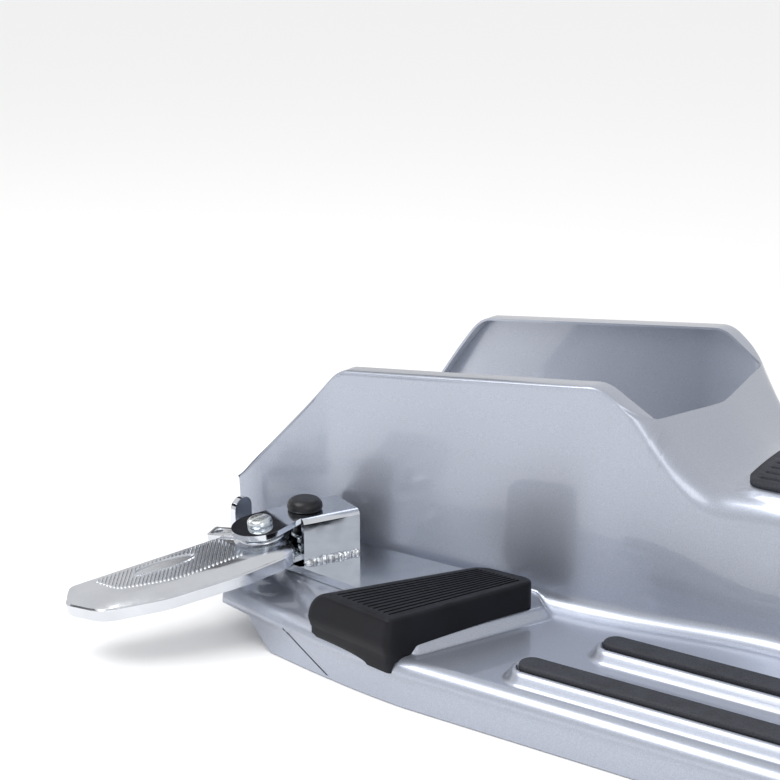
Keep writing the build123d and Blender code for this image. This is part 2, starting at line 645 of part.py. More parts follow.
def tread_grooves():
    """Row of fine V grooves across the tread."""
    bounds = tread_outline().bounding_box()
    depth = TREAD_GROOVE_DEPTH
    vee = make_face(Polyline((-TREAD_PITCH / 3, 0), (TREAD_PITCH / 3, 0), (0, -depth), close=True))
    span = bounds.max.Y - bounds.min.Y
    length = 3 * span
    along = TREAD_PITCH / math.sin(math.radians(TREAD_ANGLE))
    count = int((bounds.max.X - bounds.min.X + span) / along)
    groove = extrude(Plane.XZ * vee, length / 2, both=True)
    turned = Pos(0, 0, TREAD_RISE) * Rot(0, 0, TREAD_ANGLE - 90) * groove
    return [Pos(bounds.min.X - span / 2 + along * index, 0) * turned for index in range(count)]


def buffer_place():
    return BRACKET * Pos(-BUFFER_REACH, BUFFER_SIDE, BOX_TOP_Z)


def stop_buffer():
    """Mushroom-headed rubber buffer, with its neck in the bracket's top and a sleeve under it."""
    foot = (Align.CENTER, Align.CENTER, Align.MIN)
    top = (Align.CENTER, Align.CENTER, Align.MAX)
    head = Cylinder(BUFFER_RADIUS, BUFFER_HEIGHT, align=foot)
    head = fillet(head.faces().sort_by(Axis.Z)[-1].edges(), BUFFER_ROUNDING)
    head = fillet(head.faces().sort_by(Axis.Z)[0].edges(), BUFFER_FOOT_ROUNDING)
    neck = Cylinder(BUFFER_NECK, BRACKET_SHEET, align=top)
    sleeve = Pos(0, 0, -BRACKET_SHEET) * Cylinder(BUFFER_SLEEVE_RADIUS, BUFFER_SLEEVE_LENGTH, align=top)
    bore = Pos(0, 0, BUFFER_HEIGHT / 2) * Cylinder(BUFFER_STUD_RADIUS, -BUFFER_END + BUFFER_HEIGHT, align=top)
    return buffer_place() * (head + neck + sleeve - bore)


def buffer_stud():
    """Steel stud bonded into the buffer."""
    length = BUFFER_HEIGHT / 2 - BUFFER_END
    return buffer_place() * Pos(0, 0, BUFFER_END) * Cylinder(BUFFER_STUD_RADIUS, length,
                                                             align=(Align.CENTER, Align.CENTER, Align.MIN))


def buffer_washer():
    ring = Circle(BUFFER_WASHER_RADIUS) - Circle(BUFFER_STUD_RADIUS)
    return buffer_place() * Pos(0, 0, SLEEVE_END) * extrude(ring, -BUFFER_WASHER_THICKNESS)


def buffer_nut():
    nut = hex_nut(BUFFER_NUT_FLATS, BUFFER_NUT_HEIGHT, BUFFER_STUD_RADIUS)
    return buffer_place() * Pos(0, 0, SLEEVE_END - BUFFER_WASHER_THICKNESS) * nut


def plate_screws():
    """Button-head screws that clamp the base plate to the panel, as one group."""
    foot = (Align.CENTER, Align.CENTER, Align.MIN)
    head = Cylinder(PLATE_HEAD_RADIUS, PLATE_HEAD_HEIGHT, align=foot)
    head = fillet(head.faces().sort_by(Axis.Z)[-1].edges(), PLATE_HEAD_ROUNDING)
    length = PLATE_THICKNESS + SHEET + PLATE_NUT_HEIGHT
    screw = head + Cylinder(PLATE_SCREW_RADIUS, length, align=(Align.CENTER, Align.CENTER, Align.MAX))
    return Compound([Pos(x, y, PLATE_Z) * screw for x, y in PLATE_SCREWS])


def plate_nuts():
    """Nuts under the panel for the plate screws, as one group."""
    nut = hex_nut(PLATE_NUT_FLATS, PLATE_NUT_HEIGHT, PLATE_SCREW_RADIUS)
    return Compound([Pos(x, y, PLINTH_Z - SHEET) * nut for x, y in PLATE_SCREWS])


def right_hand_parts(outer):
    """Every piece of the right-hand side by its name."""
    plate = base_plate()
    return {
        "outer_strip": rubber_strip(-OUTER_STRIP_Y, OUTER_STRIP_X),
        "inner_strip": rubber_strip(-INNER_STRIP_Y, INNER_STRIP_X),
        "heel_pad": heel_pad(outer, plate),
        "base_plate": plate,
        "plate_screws": plate_screws(),
        "plate_nuts": plate_nuts(),
        "peg_bracket": bracket(),
        "weld_bead": weld_bead(),
        "stop_buffer": stop_buffer(),
        "buffer_stud": buffer_stud(),
        "buffer_washer": buffer_washer(),
        "buffer_nut": buffer_nut(),
        "pivot_screw": pivot_screw(),
        "pivot_nut": pivot_nut(),
        "upper_washer": washer(WASHER_RADIUS, WASHER_TOP, WASHER_THICKNESS),
        "spring_washer": washer(SPRING_WASHER_RADIUS, SPRING_TOP, SPRING_WASHER_THICKNESS),
        "lower_washer": washer(LOWER_WASHER_RADIUS, LOWER_WASHER_TOP, WASHER_THICKNESS),
        "footpeg": footpeg(),
    }


def main():
    os.makedirs("parts", exist_ok=True)
    outer = skin_with_pressings()
    export_step(floor_panel(outer), "parts/floor_panel.step")
    export_step(tunnel_mat(outer), "parts/tunnel_mat.step")
    for name, part in right_hand_parts(outer).items():
        export_step(part, f"parts/right_{name}.step")
        export_step(mirror(part, about=Plane.XZ), f"parts/left_{name}.step")


if __name__ == "__main__":
    main()
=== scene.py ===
"""Looks of the scooter floorboard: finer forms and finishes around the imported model, laid out as an add-on.

Metres. +X points to the front of the scooter, +Y to its left, +Z up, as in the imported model.
"""
import json
import math

import bmesh
import bpy
import numpy as np
from bpy.props import FloatProperty, FloatVectorProperty, PointerProperty
from mathutils import Matrix, Vector


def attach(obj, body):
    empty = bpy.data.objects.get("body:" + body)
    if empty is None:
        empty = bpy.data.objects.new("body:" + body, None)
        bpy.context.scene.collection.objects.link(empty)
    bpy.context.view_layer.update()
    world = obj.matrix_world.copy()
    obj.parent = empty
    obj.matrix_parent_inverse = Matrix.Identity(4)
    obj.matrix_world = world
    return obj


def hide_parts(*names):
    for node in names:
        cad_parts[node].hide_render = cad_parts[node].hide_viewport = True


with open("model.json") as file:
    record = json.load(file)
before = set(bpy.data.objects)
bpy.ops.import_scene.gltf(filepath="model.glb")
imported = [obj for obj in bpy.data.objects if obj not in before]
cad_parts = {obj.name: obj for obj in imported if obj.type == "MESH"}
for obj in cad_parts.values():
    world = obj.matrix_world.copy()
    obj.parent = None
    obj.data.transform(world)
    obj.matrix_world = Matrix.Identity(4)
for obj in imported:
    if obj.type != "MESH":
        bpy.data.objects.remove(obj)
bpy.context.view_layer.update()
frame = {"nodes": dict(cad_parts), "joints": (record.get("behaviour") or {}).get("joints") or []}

bl_info = {
    "name": "Scooter floorboard",
    "version": (1, 0, 0),
    "blender": (4, 5, 0),
    "location": "3D View > Sidebar > Floorboard",
    "description": "Dresses the pressed floorboard, its rubbers and its folding footpegs",
    "category": "Object",
}

NODES = frame["nodes"]
PEG_JOINT = next(joint for joint in frame["joints"] if joint["name"] == "right_peg_fold")
SIDES = (("right", -1), ("left", 1))
SEED = 7

# Panel form: half widths are from the centre plane
FLOOR_Z = 0.028
FRONT_X = 0.170
REAR_X = -0.395
FLOOR_HALF = 0.214
TAPER_START_X = -0.180
TAPER_INSET = 0.042
TAPER_POWER = 1.5
FLANGE_WIDTH = 0.024
EDGE_RADIUS = 0.009
COVE_RADIUS = 0.010
SHOULDER_RADIUS = 0.016
CROWN_RADIUS = 0.180
CROWN_RISE = 0.008
TUNNEL_FOOT_HALF = 0.074
WALL_FOOT_HALF = 0.090
REAR_FOOT_HALF = 0.112
TUNNEL_TOP_HALF = 0.064
WALL_TOP_HALF = 0.097
REAR_TOP_HALF = 0.122
TUNNEL_HEIGHT = 0.085
WALL_HEIGHT = 0.180
FLARE_X = (-0.015, -0.150)
RISE_X = (-0.056, -0.150)
REAR_FLARE_X = -0.322

# Trimmed edge of the upstand walls, from the rear tip to the front, seen from the side
SEAM_X = (-0.388, -0.319, -0.128, -0.078, -0.066)
SEAM_Z = (0.072, 0.154, 0.174, 0.141, 0.132)
SEAM_SOFTENING = 0.006
EDGE_END_X = -0.342
LIP_WIDTH = 0.009
LIP_BEND = 0.0018
CREASE_STEP = 0.0006

# Rear end of the skirts, seen from the side: a slanted end and a slit ahead of it
SKIRT_END_X = -0.296
SKIRT_TAIL_X = -0.316
SKIRT_TAIL_Z = 0.018
SLIT_FOOT = (-0.238, -0.0016)
SLIT_TOP = (-0.284, 0.020)
SLIT_WIDTH = 0.0028

PANEL_SHARP = math.radians(75)

# Pressings
RIB_HEIGHT = 0.0075
RIB_RIM = 0.0022
RIB_RUN = 0.0054
SOCKET_DEPTH = 0.004
SOCKET_HALF = 0.008
RIB_FRONT_X = 0.13025
RIBS = ((0.189, -0.1212), (0.136, -0.0962))
SEAT_HEIGHT = 0.0025
SEAT_HALF = 0.059
SEAT_X = (-0.055, 0.145)
SEAT_CORNER = 0.012
SEAT_SLOPE = (-0.0022, 0.0008)
PLINTH_HEIGHT = 0.007
PLINTH_RUN = 0.0046
PLINTH_FOOT = 0.0006
PLINTH_CORNER = 0.006
PLINTH_CORNERS = ((-0.206, -0.045), (-0.404, -0.045), (-0.404, -0.135), (-0.3297, -0.1494),
                  (-0.260, -0.1915), (-0.1838, -0.2020), (-0.1461, -0.1077))

# Stretches of the skin's mesh along the panel and across the floor, and how pressings melt into it
REAR_TRIM = 0.001
REAR_ZONE_X = -0.205
RIB_REAR_ZONE_X = (-0.132, -0.084)
RIB_FRONT_ZONE_X = (0.118, 0.148)
INNER_RIB_ZONE_Y = (0.118, 0.152)
OUTER_RIB_ZONE_Y = (0.172, 0.206)
FLOOR_START_Y = 0.070
TAPER_CUT = 0.00005
PRESSED_HALF = 0.06
PRESSED_RISE = 0.02
PRESSED_LEAST = 1e-5
PRESSED_SINK = 0.0005
MELT_WIDTH = 0.0012

# Frame bolts through the flanges
BOLT_X = 0.110
BOLT_Y = 0.202
BOLT_HOLE = 0.00425

# Heel pad on the right-hand side, in plan: front outer, front inner, rear inner, rear outer
PAD_CORNERS = ((-0.192, -0.217), (-0.154, -0.112), (-0.206, -0.112), (-0.260, -0.2055))
PAD_BASE_Z = 0.026
PAD_BAND_Z = 0.031
PAD_BULGE_Z = 0.037
PAD_TOP_Z = 0.053
PAD_INNER_CORNER = 0.006
PAD_REAR_CORNER = 0.012
BAND_LEDGE = 0.0012
BULGE_EASE = 0.002
SEAT_GAP = 0.0002
RING_GAP = 0.0003
GROOVE_COUNT = 11
GROOVE_OUTER_MARGIN = 0.0045
GROOVE_INNER_MARGIN = 0.006

# Footpeg in its own plane: u runs outwards along the blade, v to the front; outlines are in millimetres
PEG_TILT = 8
PEG_ANGLE = 246
PEG_YAW = -5
BLADE_TOP = -0.0085
BLADE_POINTS = ((18, -17), (125, -11.5), (132, 2), (117, 27), (78, 37), (26, 37), (-8, 31), (-14, 18),
                (-14, -4))
BLADE_RADII = (4, 6, 8, 22, 60, 60, 16, 6, 4)
TREAD_POINTS = ((24, -16), (110, -10.5), (101, 11), (66, 23), (17, 17.5))
TREAD_RADII = (2, 4, 12, 60, 4)
TREAD_CENTRE = (0.060, 0.003)
RIM_FADE = (-0.012, 0.004)
EDGE_INSET = 0.0009
EDGE_DROP = 0.0008
FOOT_RIM = 0.0045
POCKET_Z = -0.0046
OVAL_CENTRE = (0.065, -0.002)
OVAL_GAP = 0.0006
OVAL_RIM = ((0.0007, 0), (0.0005, 0.9), (0, 0.9), (-0.0002, 0))
RIDGE_ANGLE = 64
RIDGE_LEAST = 0.002
RIDGE_END_GAP = 0.0004
RIDGE_END_RUN = 0.0005
RIDGE_SINK = 0.0002
HUB_RADIUS = 0.015
HUB_FOOT = 0.018
HUB_RISE = 0.0018
PIN_HOLE = 0.00405
LUG = (0.020, -0.024)
LUG_HALF = 0.0062
LUG_HOLE = 0.0026
LUG_TOP = 0.0014
LUG_DEPTH = 0.0065
LUG_CORNERS = (0.0005, 0.0005, 0.0016, 0.0016)
HUB_EDGE = 0.0006

# Dark cards around the stage, which only reflections see
FLAG_TURNS = tuple(math.radians(turn) for turn in (137, 227))
FLAG_REACH = 1.30
FLAG_HEIGHT = 0.76
FLAG_AIM = (-0.25, 0, 0.06)
FLAG_SIZE = (0.55, 0.42)

# Lamps, and the floor just below the flanges
KEY_PLACE = (-0.75, -0.95, 1.5)
KEY_AIM = (-0.1, -0.15, 0.03)
KEY_SIZE = 1.1
SIDE_PLACE = (1.3, -1.2, 0.9)
SIDE_AIM = (-0.1, -0.1, 0.05)
SIDE_SIZE = 0.9
FLOOR_DROP = 0.0006

# Bracket box in its own plan frame, for the weld along its front foot
BOX_START = 0.023
BOX_LENGTH = 0.041
BOX_FRONT = 0.016
PLATE_Z = 0.040
PLATE_BEVEL = 0.0008
BRACKET_BEVEL = 0.0005
WASHER_BEVEL = 0.0003
BEAD_RADIUS = 0.0019
BEAD_LEAST = 0.0011
BEAD_RIPPLE = 0.0005
BEAD_PITCH = (0.0012, 0.0034)
BEAD_LUMPS = 0.00045
BEAD_GRIT = 0.00016
BEAD_TAPER = 0.003
BEAD_SINK = 0.0004


def length(name, default, description):
    """Length property with its unit."""
    return FloatProperty(name=name, default=default, description=description, unit="LENGTH", precision=4)


def colour(name, default, description):
    """Colour property in linear values."""
    return FloatVectorProperty(name=name, default=default, description=description, subtype="COLOR",
                               size=3, min=0, max=1)


class PanelSizes(bpy.types.PropertyGroup):
    sheet: length("Sheet", 0.0016, "Thickness of the pressed steel")
    fine_step: length("Fine step", 0.0013, "Mesh step where the pressings are")
    coarse_step: length("Coarse step", 0.006, "Mesh step on plain stretches")


class PadSizes(bpy.types.PropertyGroup):
    outer_slope: length("Outer slope", 0.001, "How far the pad's outer end leans in at the top")
    bulge: length("Bulge", 0.0014, "How far the outer end swells out below that")
    rounding: length("Rounding", 0.0022, "Radius of the top edges")
    roll: length("Rear roll", 0.014, "Radius of the top's roll to the rear")
    band_step: length("Band step", 0.0006, "How far the band at the outer foot stands back")
    corner: length("Corner", 0.0035, "Radius of the outer corners in plan")
    groove_width: length("Groove width", 0.0015, "Width of a tread groove")
    groove_depth: length("Groove depth", 0.0024, "Depth of a tread groove")


class PegSizes(bpy.types.PropertyGroup):
    thickness: length("Blade thickness", 0.0122, "Depth of the blade's side")
    rim_drop: length("Rim drop", 0.0036, "How far the polished rim falls to the blade's edge")
    rim_width: length("Rim width", 0.016, "Width of the sloping rim")
    ridge_pitch: length("Ridge pitch", 0.0024, "Distance between the tread's ridges")
    ridge_height: length("Ridge height", 0.0008, "Height of the tread's ridges")
    badge_length: length("Oval length", 0.040, "Length of the plain oval in the tread")
    badge_width: length("Oval width", 0.012, "Width of the plain oval in the tread")


class FinishColours(bpy.types.PropertyGroup):
    paint: colour("Paint", (0.40, 0.43, 0.505), "Silver paint")
    strip: colour("Strip rubber", (0.036, 0.038, 0.047), "Dark grey rubber of the strips")
    pad: colour("Pad rubber", (0.0055, 0.0058, 0.0085), "Black rubber of the pads")
    chrome: colour("Chrome", (0.70, 0.73, 0.78), "Bright plate of the brackets")
    alloy: colour("Alloy", (0.70, 0.72, 0.76), "Polished casting of the pegs")
    zinc: colour("Zinc", (0.62, 0.67, 0.71), "Plate of screws, nuts and washers")
    weld: colour("Weld", (0.62, 0.64, 0.67), "Bright weld metal")


class StageSettings(bpy.types.PropertyGroup):
    camera_place: FloatVectorProperty(name="Camera place", default=(0.3564, -0.9950, 0.4635), unit="LENGTH",
                                      description="Where the camera stands")
    camera_azimuth: FloatProperty(name="Azimuth", default=math.radians(35.1), subtype="ANGLE",
                                  description="Turn of the camera about the upright axis")
    camera_pitch: FloatProperty(name="Pitch", default=math.radians(16), subtype="ANGLE",
                                description="How far the camera looks down")
    lens: FloatProperty(name="Lens", default=83.08, description="Focal length on a 36 mm wide sensor")
    world_light: FloatProperty(name="Sky strength", default=0.95, description="Soft light from all round")
    key_power: FloatProperty(name="Key power", default=16, description="Watts of the large high light")
    rim_power: FloatProperty(name="Side power", default=5, description="Watts of the light beside the camera")


def sizes(context, name):
    return getattr(context.scene, "floorboard_" + name)


# Forms in plan and section

def ease(value, start, end):
    """Share of the way from start to end, with soft ends."""
    share = np.clip((value - start) / (end - start), 0, 1)
    return share * share * (3 - 2 * share)


def slope(value, start, end):
    """Share of the way from start to end: a plain slope with slightly softened ends."""
    plain = np.clip((value - start) / (end - start), 0, 1)
    return blend(plain, ease(value, start, end), 0.35)


def blend(low, high, share):
    return low + (high - low) * share


def edge_half(x):
    """Half width of the floor, which narrows behind the taper's start."""
    share = np.maximum((TAPER_START_X - x) / (TAPER_START_X - REAR_X), 0)
    return FLOOR_HALF - TAPER_INSET * share ** TAPER_POWER


def wall_half(x, tunnel, wall, rear):
    """Half width of the wall at its foot or its shoulder."""
    return blend(tunnel, wall, ease(x, *FLARE_X)) + (rear - wall) * ease(x, REAR_FLARE_X, REAR_X)


def seam_z(x):
    """Height of the wall's trimmed edge, with its corners softened."""
    if x > SEAM_X[-1]:
        return math.inf
    spread = np.linspace(-SEAM_SOFTENING, SEAM_SOFTENING, 7)
    return float(np.mean(np.interp(x + spread, SEAM_X, SEAM_Z)))


def arc(before, corner, after, radius, steps):
    """Points of the arc that rounds a corner, from the first side to the second."""
    before, corner, after = (np.asarray(p, float) for p in (before, corner, after))
    first = (before - corner) / np.linalg.norm(before - corner)
    second = (after - corner) / np.linalg.norm(after - corner)
    half = math.acos(np.clip(first @ second, -1, 1)) / 2
    middle = (first + second) / np.linalg.norm(first + second)
    centre = corner + middle * radius / math.sin(half)
    start = corner + first * radius / math.tan(half) - centre
    end = corner + second * radius / math.tan(half) - centre
    turn = math.pi - 2 * half
    shares = np.linspace(0, 1, steps + 1)[:, None]
    return centre + (np.sin((1 - shares) * turn) * start + np.sin(shares * turn) * end) / math.sin(turn)


def rounded_outline(points, radii, steps=8):
    """Closed outline with its corners rounded."""
    count = len(points)
    runs = [arc(points[i - 1], points[i], points[(i + 1) % count], radii[i], steps) for i in range(count)]
    return np.concatenate(runs)


def evenly(points, count, closed=False):
    """Points at even distances along a line."""
    line = np.vstack([points, points[:1]]) if closed else np.asarray(points)
    travel = np.concatenate([[0], np.cumsum(np.linalg.norm(np.diff(line, axis=0), axis=1))])
    at = np.linspace(0, travel[-1], count, endpoint=not closed)
    return np.stack([np.interp(at, travel, line[:, axis]) for axis in range(line.shape[1])], 1)


def polygon_depth(points, polygon):
    """How far points lie inside a polygon; negative outside."""
    points = np.asarray(points)
    polygon = np.asarray(polygon)
    distance = np.full(len(points), np.inf)
    inside = np.zeros(len(points), bool)
    for start, end in zip(polygon, np.roll(polygon, -1, axis=0)):
        run = end - start
        share = np.clip((points - start) @ run / (run @ run), 0, 1)
        distance = np.minimum(distance, np.linalg.norm(points - start - share[:, None] * run, axis=1))
        crosses = (start[1] > points[:, 1]) != (end[1] > points[:, 1])
        rise = run[1] if run[1] else 1e-12
        inside ^= crosses & (points[:, 0] < start[0] + (points[:, 1] - start[1]) / rise * run[0])
    return np.where(inside, distance, -distance)


def floor_lift(x, y):
    """Height of the ribs, their sockets and the plinth above the plain floor; y is a half width."""
    points = np.stack([x, -y], 1)
    plinth = rounded_outline(PLINTH_CORNERS, [PLINTH_CORNER] * len(PLINTH_CORNERS), 6)
    lift = PLINTH_HEIGHT * slope(polygon_depth(points, plinth), -PLINTH_FOOT, PLINTH_RUN)
    for rib_y, rear_x in RIBS:
        along = np.clip(x, rear_x + SOCKET_HALF, RIB_FRONT_X - SOCKET_HALF)
        gap = np.hypot(x - along, y - rib_y) - SOCKET_HALF
        rib = RIB_HEIGHT * (1 - slope(gap, RIB_RIM, RIB_RIM + RIB_RUN))
        rib = np.where(gap < 0, RIB_HEIGHT - SOCKET_DEPTH, rib)
        lift = np.maximum(lift, rib)
    return lift


def seat_lift(x, y):
    """Height of the mat's seat above the tunnel's crown."""
    middle = sum(SEAT_X) / 2
    across = np.maximum(np.abs(x - middle) - (SEAT_X[1] - SEAT_X[0]) / 2 + SEAT_CORNER, 0)
    out = np.maximum(np.abs(y) - SEAT_HALF + SEAT_CORNER, 0)
    return SEAT_HEIGHT * (1 - ease(np.hypot(across, out) - SEAT_CORNER, *SEAT_SLOPE))


def smooth_max(first, second, width):
    """Larger of two values with a rounded change over."""
    share = np.clip(0.5 + (first - second) / (2 * width), 0, 1)
    return blend(second, first, share) + width * share * (1 - share)


def clipped_outside(path, limit):
    """Run from the skirt to the floor, with all that lies outside limit drawn to the cut."""
    inward = path[::-1].copy()
    beyond = np.nonzero(inward[:, 0] > limit)[0]
    if len(beyond):
        first = max(beyond[0], 1)
        near, far = inward[first - 1], inward[first]
        share = np.clip((limit - near[0]) / max(far[0] - near[0], 1e-9), 0, 1)
        inward[first:] = near + (far - near) * share
    return inward[::-1]


def panel_path(x, floor_lines):
    """Half section of the panel's outer face at x: skirt, floor, cove, wall or crown, and turned lip."""
    edge = edge_half(x)
    foot = wall_half(x, TUNNEL_FOOT_HALF, WALL_FOOT_HALF, REAR_FOOT_HALF)
    top = wall_half(x, TUNNEL_TOP_HALF, WALL_TOP_HALF, REAR_TOP_HALF)
    shoulder = FLOOR_Z + blend(TUNNEL_HEIGHT, WALL_HEIGHT, ease(x, *RISE_X))
    skirt_z = float(np.interp(x, (SKIRT_TAIL_X, SKIRT_END_X), (SKIRT_TAIL_Z, 0)))
    ground, outer, inner = (edge, skirt_z), (edge, FLOOR_Z), (foot, FLOOR_Z)
    upper, crown, far = (top, shoulder), (0, shoulder + CROWN_RISE), (-top, shoulder)
    rim = arc(ground, outer, inner, EDGE_RADIUS, 8)
    cove = arc(outer, inner, upper, COVE_RADIUS, 8)
    crease = (edge - CREASE_STEP, rim[0][1] - CREASE_STEP)
    skirt = np.linspace((edge - CREASE_STEP, skirt_z), crease, 5)
    flat = np.clip(floor_lines, cove[0][0], rim[-1][0])[::-1]
    flat = np.stack([flat, np.full(len(flat), FLOOR_Z)], 1)
    outside = np.concatenate([skirt, rim, flat])
    if x < EDGE_END_X:
        share = (EDGE_END_X - x) / (EDGE_END_X - REAR_X - EDGE_RADIUS)
        outside = clipped_outside(outside, blend(edge_half(EDGE_END_X), REAR_FOOT_HALF, min(share, 1)))
    crest = arc(upper, crown, far, CROWN_RADIUS, 12)[:7]
    wall = np.concatenate([cove[-1:], arc(inner, upper, crown, SHOULDER_RADIUS, 10), crest])
    cut = seam_z(x)
    above = np.nonzero(wall[:, 1] > cut)[0]
    lip = 0
    if len(above):
        near, past = wall[above[0] - 1], wall[above[0]]
        end = near + (past - near) * (cut - near[1]) / (past[1] - near[1])
        wall = np.vstack([wall[:above[0]], end])
        lip = max(end[0] - foot + LIP_WIDTH, 0)
    bend = min(LIP_BEND, lip / 2)
    end = wall[-1].copy()
    wall = evenly(wall, 64)
    wall[:, 1] = np.minimum(wall[:, 1], end[1] - bend)
    turns = np.radians([30, 60, 90])
    turned = [(end[0] - bend + bend * math.cos(t), end[1] - bend + bend * math.sin(t)) for t in turns]
    turned += [(end[0] - lip * share, end[1]) for share in (0.5, 0.8, 1)]
    return np.concatenate([outside, cove[1:-1], wall, np.array(turned)])


def steps(ranges):
    """Values through a row of (start, end, step) ranges, each once."""
    runs = [np.linspace(a, b, max(int(math.ceil(abs(b - a) / step)), 1) + 1) for a, b, step in ranges]
    return np.unique(np.round(np.concatenate(runs), 6))


def panel_grid(panel):
    """Rows of points over the right half of the panel, from the rear to the front."""
    fine, coarse = panel.fine_step, panel.coarse_step
    rear_start, rear_end = RIB_REAR_ZONE_X
    front_start, front_end = RIB_FRONT_ZONE_X
    x_values = steps([(REAR_X + EDGE_RADIUS - REAR_TRIM, REAR_ZONE_X, 2.6 * fine),
                      (REAR_ZONE_X, rear_start, 1.2 * fine), (rear_start, rear_end, 0.7 * fine),
                      (rear_end, front_start, coarse), (front_start, front_end, 0.8 * fine),
                      (front_end, FRONT_X, coarse), (EDGE_END_X - TAPER_CUT, EDGE_END_X, fine),
                      (SKIRT_TAIL_X, SKIRT_END_X, coarse)])
    inner_start, inner_end = INNER_RIB_ZONE_Y
    outer_start, outer_end = OUTER_RIB_ZONE_Y
    floor_lines = steps([(FLOOR_START_Y, inner_start, coarse / 2), (inner_start, inner_end, fine * 0.8),
                         (inner_end, outer_start, 1.6 * fine), (outer_start, outer_end, fine * 0.8)])
    rows = np.array([panel_path(x, floor_lines) for x in x_values])
    x_grid = np.repeat(x_values[:, None], rows.shape[1], 1)
    y_grid, z_grid = rows[..., 0].copy(), rows[..., 1].copy()
    low = (z_grid < FLOOR_Z + PRESSED_RISE) & (y_grid > PRESSED_HALF) & (z_grid > FLOOR_Z - PRESSED_SINK)
    lift = floor_lift(x_grid[low], y_grid[low])
    pressed = smooth_max(z_grid[low], FLOOR_Z + lift, MELT_WIDTH) - MELT_WIDTH / 4
    z_grid[low] = np.where(lift > PRESSED_LEAST, pressed, z_grid[low])
    high = z_grid > FLOOR_Z + TUNNEL_HEIGHT / 2
    z_grid[high] += np.where(x_grid[high] > SEAM_X[-1], seat_lift(x_grid[high], y_grid[high]), 0)
    return np.stack([x_grid, -y_grid, z_grid], -1)


# Meshes and pieces

def grid_faces(rows, columns, closed=False):
    """Quads of a grid of points, as index rows."""
    index = np.arange(rows * columns).reshape(rows, columns)
    if closed:
        index = np.concatenate([index, index[:, :1]], 1)
    return np.stack([index[:-1, :-1], index[1:, :-1], index[1:, 1:], index[:-1, 1:]], -1).reshape(-1, 4)


def add_grid(build, points, closed=False, flip=False, caps=(False, False), coat=0):
    """Adds a grid of points to a bmesh as quads, with caps on its first and last rows on request."""
    rows, columns = points.shape[:2]
    verts = [build.verts.new(p) for p in points.reshape(-1, 3)]
    faces = grid_faces(rows, columns, closed)
    for quad in faces:
        corners = [verts[i] for i in (quad[::-1] if flip else quad)]
        build.faces.new(corners).material_index = coat
    for wanted, row in zip(caps, (verts[:columns], verts[-columns:])):
        if wanted:
            build.faces.new(row)


def finish_mesh(build, name, weld=1e-6, sharp=math.radians(38), recalc=True):
    """Mesh from a bmesh: welded, with outward normals and smooth shading that keeps its edges."""
    bmesh.ops.remove_doubles(build, verts=build.verts, dist=weld)
    bmesh.ops.dissolve_degenerate(build, edges=build.edges, dist=weld)
    if recalc:
        bmesh.ops.recalc_face_normals(build, faces=build.faces)
    mesh = bpy.data.meshes.new(name)
    build.to_mesh(mesh)
    build.free()
    mesh.shade_smooth()
    mesh.set_sharp_from_angle(angle=sharp)
    return mesh


def new_object(name, mesh):
    piece = bpy.data.objects.new(name, mesh)
    bpy.context.scene.collection.objects.link(piece)
    return piece


def dress(piece, material, body, slot, *nodes):
    """Gives a new piece its finish, its body and the nodes that it stands for; the slot argument is not used.
    """
    piece.data.materials.clear()
    piece.data.materials.append(material)
    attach(piece, body)
    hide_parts(*nodes)
    return piece


def mirrored(mesh, name):
    """Copy of a mesh on the other side of the centre plane."""
    copy = mesh.copy()
    copy.name = name
    copy.transform(Matrix.Diagonal((1, -1, 1, 1)))
    copy.flip_normals()
    return copy


def apply_modifiers(piece):
    """Bakes a piece's modifiers into its mesh."""
    graph = bpy.context.evaluated_depsgraph_get()
    mesh = bpy.data.meshes.new_from_object(piece.evaluated_get(graph))
    piece.modifiers.clear()
    old = piece.data
    piece.data = mesh
    bpy.data.meshes.remove(old)


def cut_away(piece, mesh):
    """Cuts a closed mesh out of a piece and drops it."""
    cutter = new_object("cutter", mesh)
    cut = piece.modifiers.new("Cut", "BOOLEAN")
    cut.operation = "DIFFERENCE"
    cut.solver = "EXACT"
    cut.object = cutter
    apply_modifiers(piece)
    bpy.data.objects.remove(cutter)


def plate_mesh(outline, holes, thickness, bevel=0):
    """Flat plate around z 0 with holes, from outlines in plan."""
    curve = bpy.data.curves.new("plate", "CURVE")
    curve.dimensions = "2D"
    curve.fill_mode = "BOTH"
    curve.extrude = thickness / 2 - bevel
    curve.bevel_depth = bevel
    curve.offset = -bevel
    curve.bevel_resolution = 2
    for points in [outline, *holes]:
        spline = curve.splines.new("POLY")
        spline.points.add(len(points) - 1)
        for point, place in zip(spline.points, points):
            point.co = (place[0], place[1], 0, 1)
        spline.use_cyclic_u = True
    holder = bpy.data.objects.new("plate", curve)
    bpy.context.scene.collection.objects.link(holder)
    graph = bpy.context.evaluated_depsgraph_get()
    mesh = bpy.data.meshes.new_from_object(holder.evaluated_get(graph))
    bpy.data.objects.remove(holder)
    bpy.data.curves.remove(curve)
    return mesh


def circle(centre, radius, count=40):
    turns = np.linspace(0, 2 * math.pi, count, endpoint=False)
    return [(centre[0] + radius * math.cos(t), centre[1] + radius * math.sin(t)) for t in turns]


def add_mesh(build, mesh, matrix=Matrix.Identity(4)):
    """Adds a mesh to a bmesh and drops it."""
    mesh.transform(matrix)
    build.from_mesh(mesh)
    bpy.data.meshes.remove(mesh)


def revolved(profile, count=64):
    """Rings of points around the local Z axis from (radius, z) pairs."""
    turns = np.linspace(0, 2 * math.pi, count, endpoint=False)
    return np.array([[(r * math.cos(t), r * math.sin(t), z) for t in turns] for r, z in profile])


# Node groups and finishes

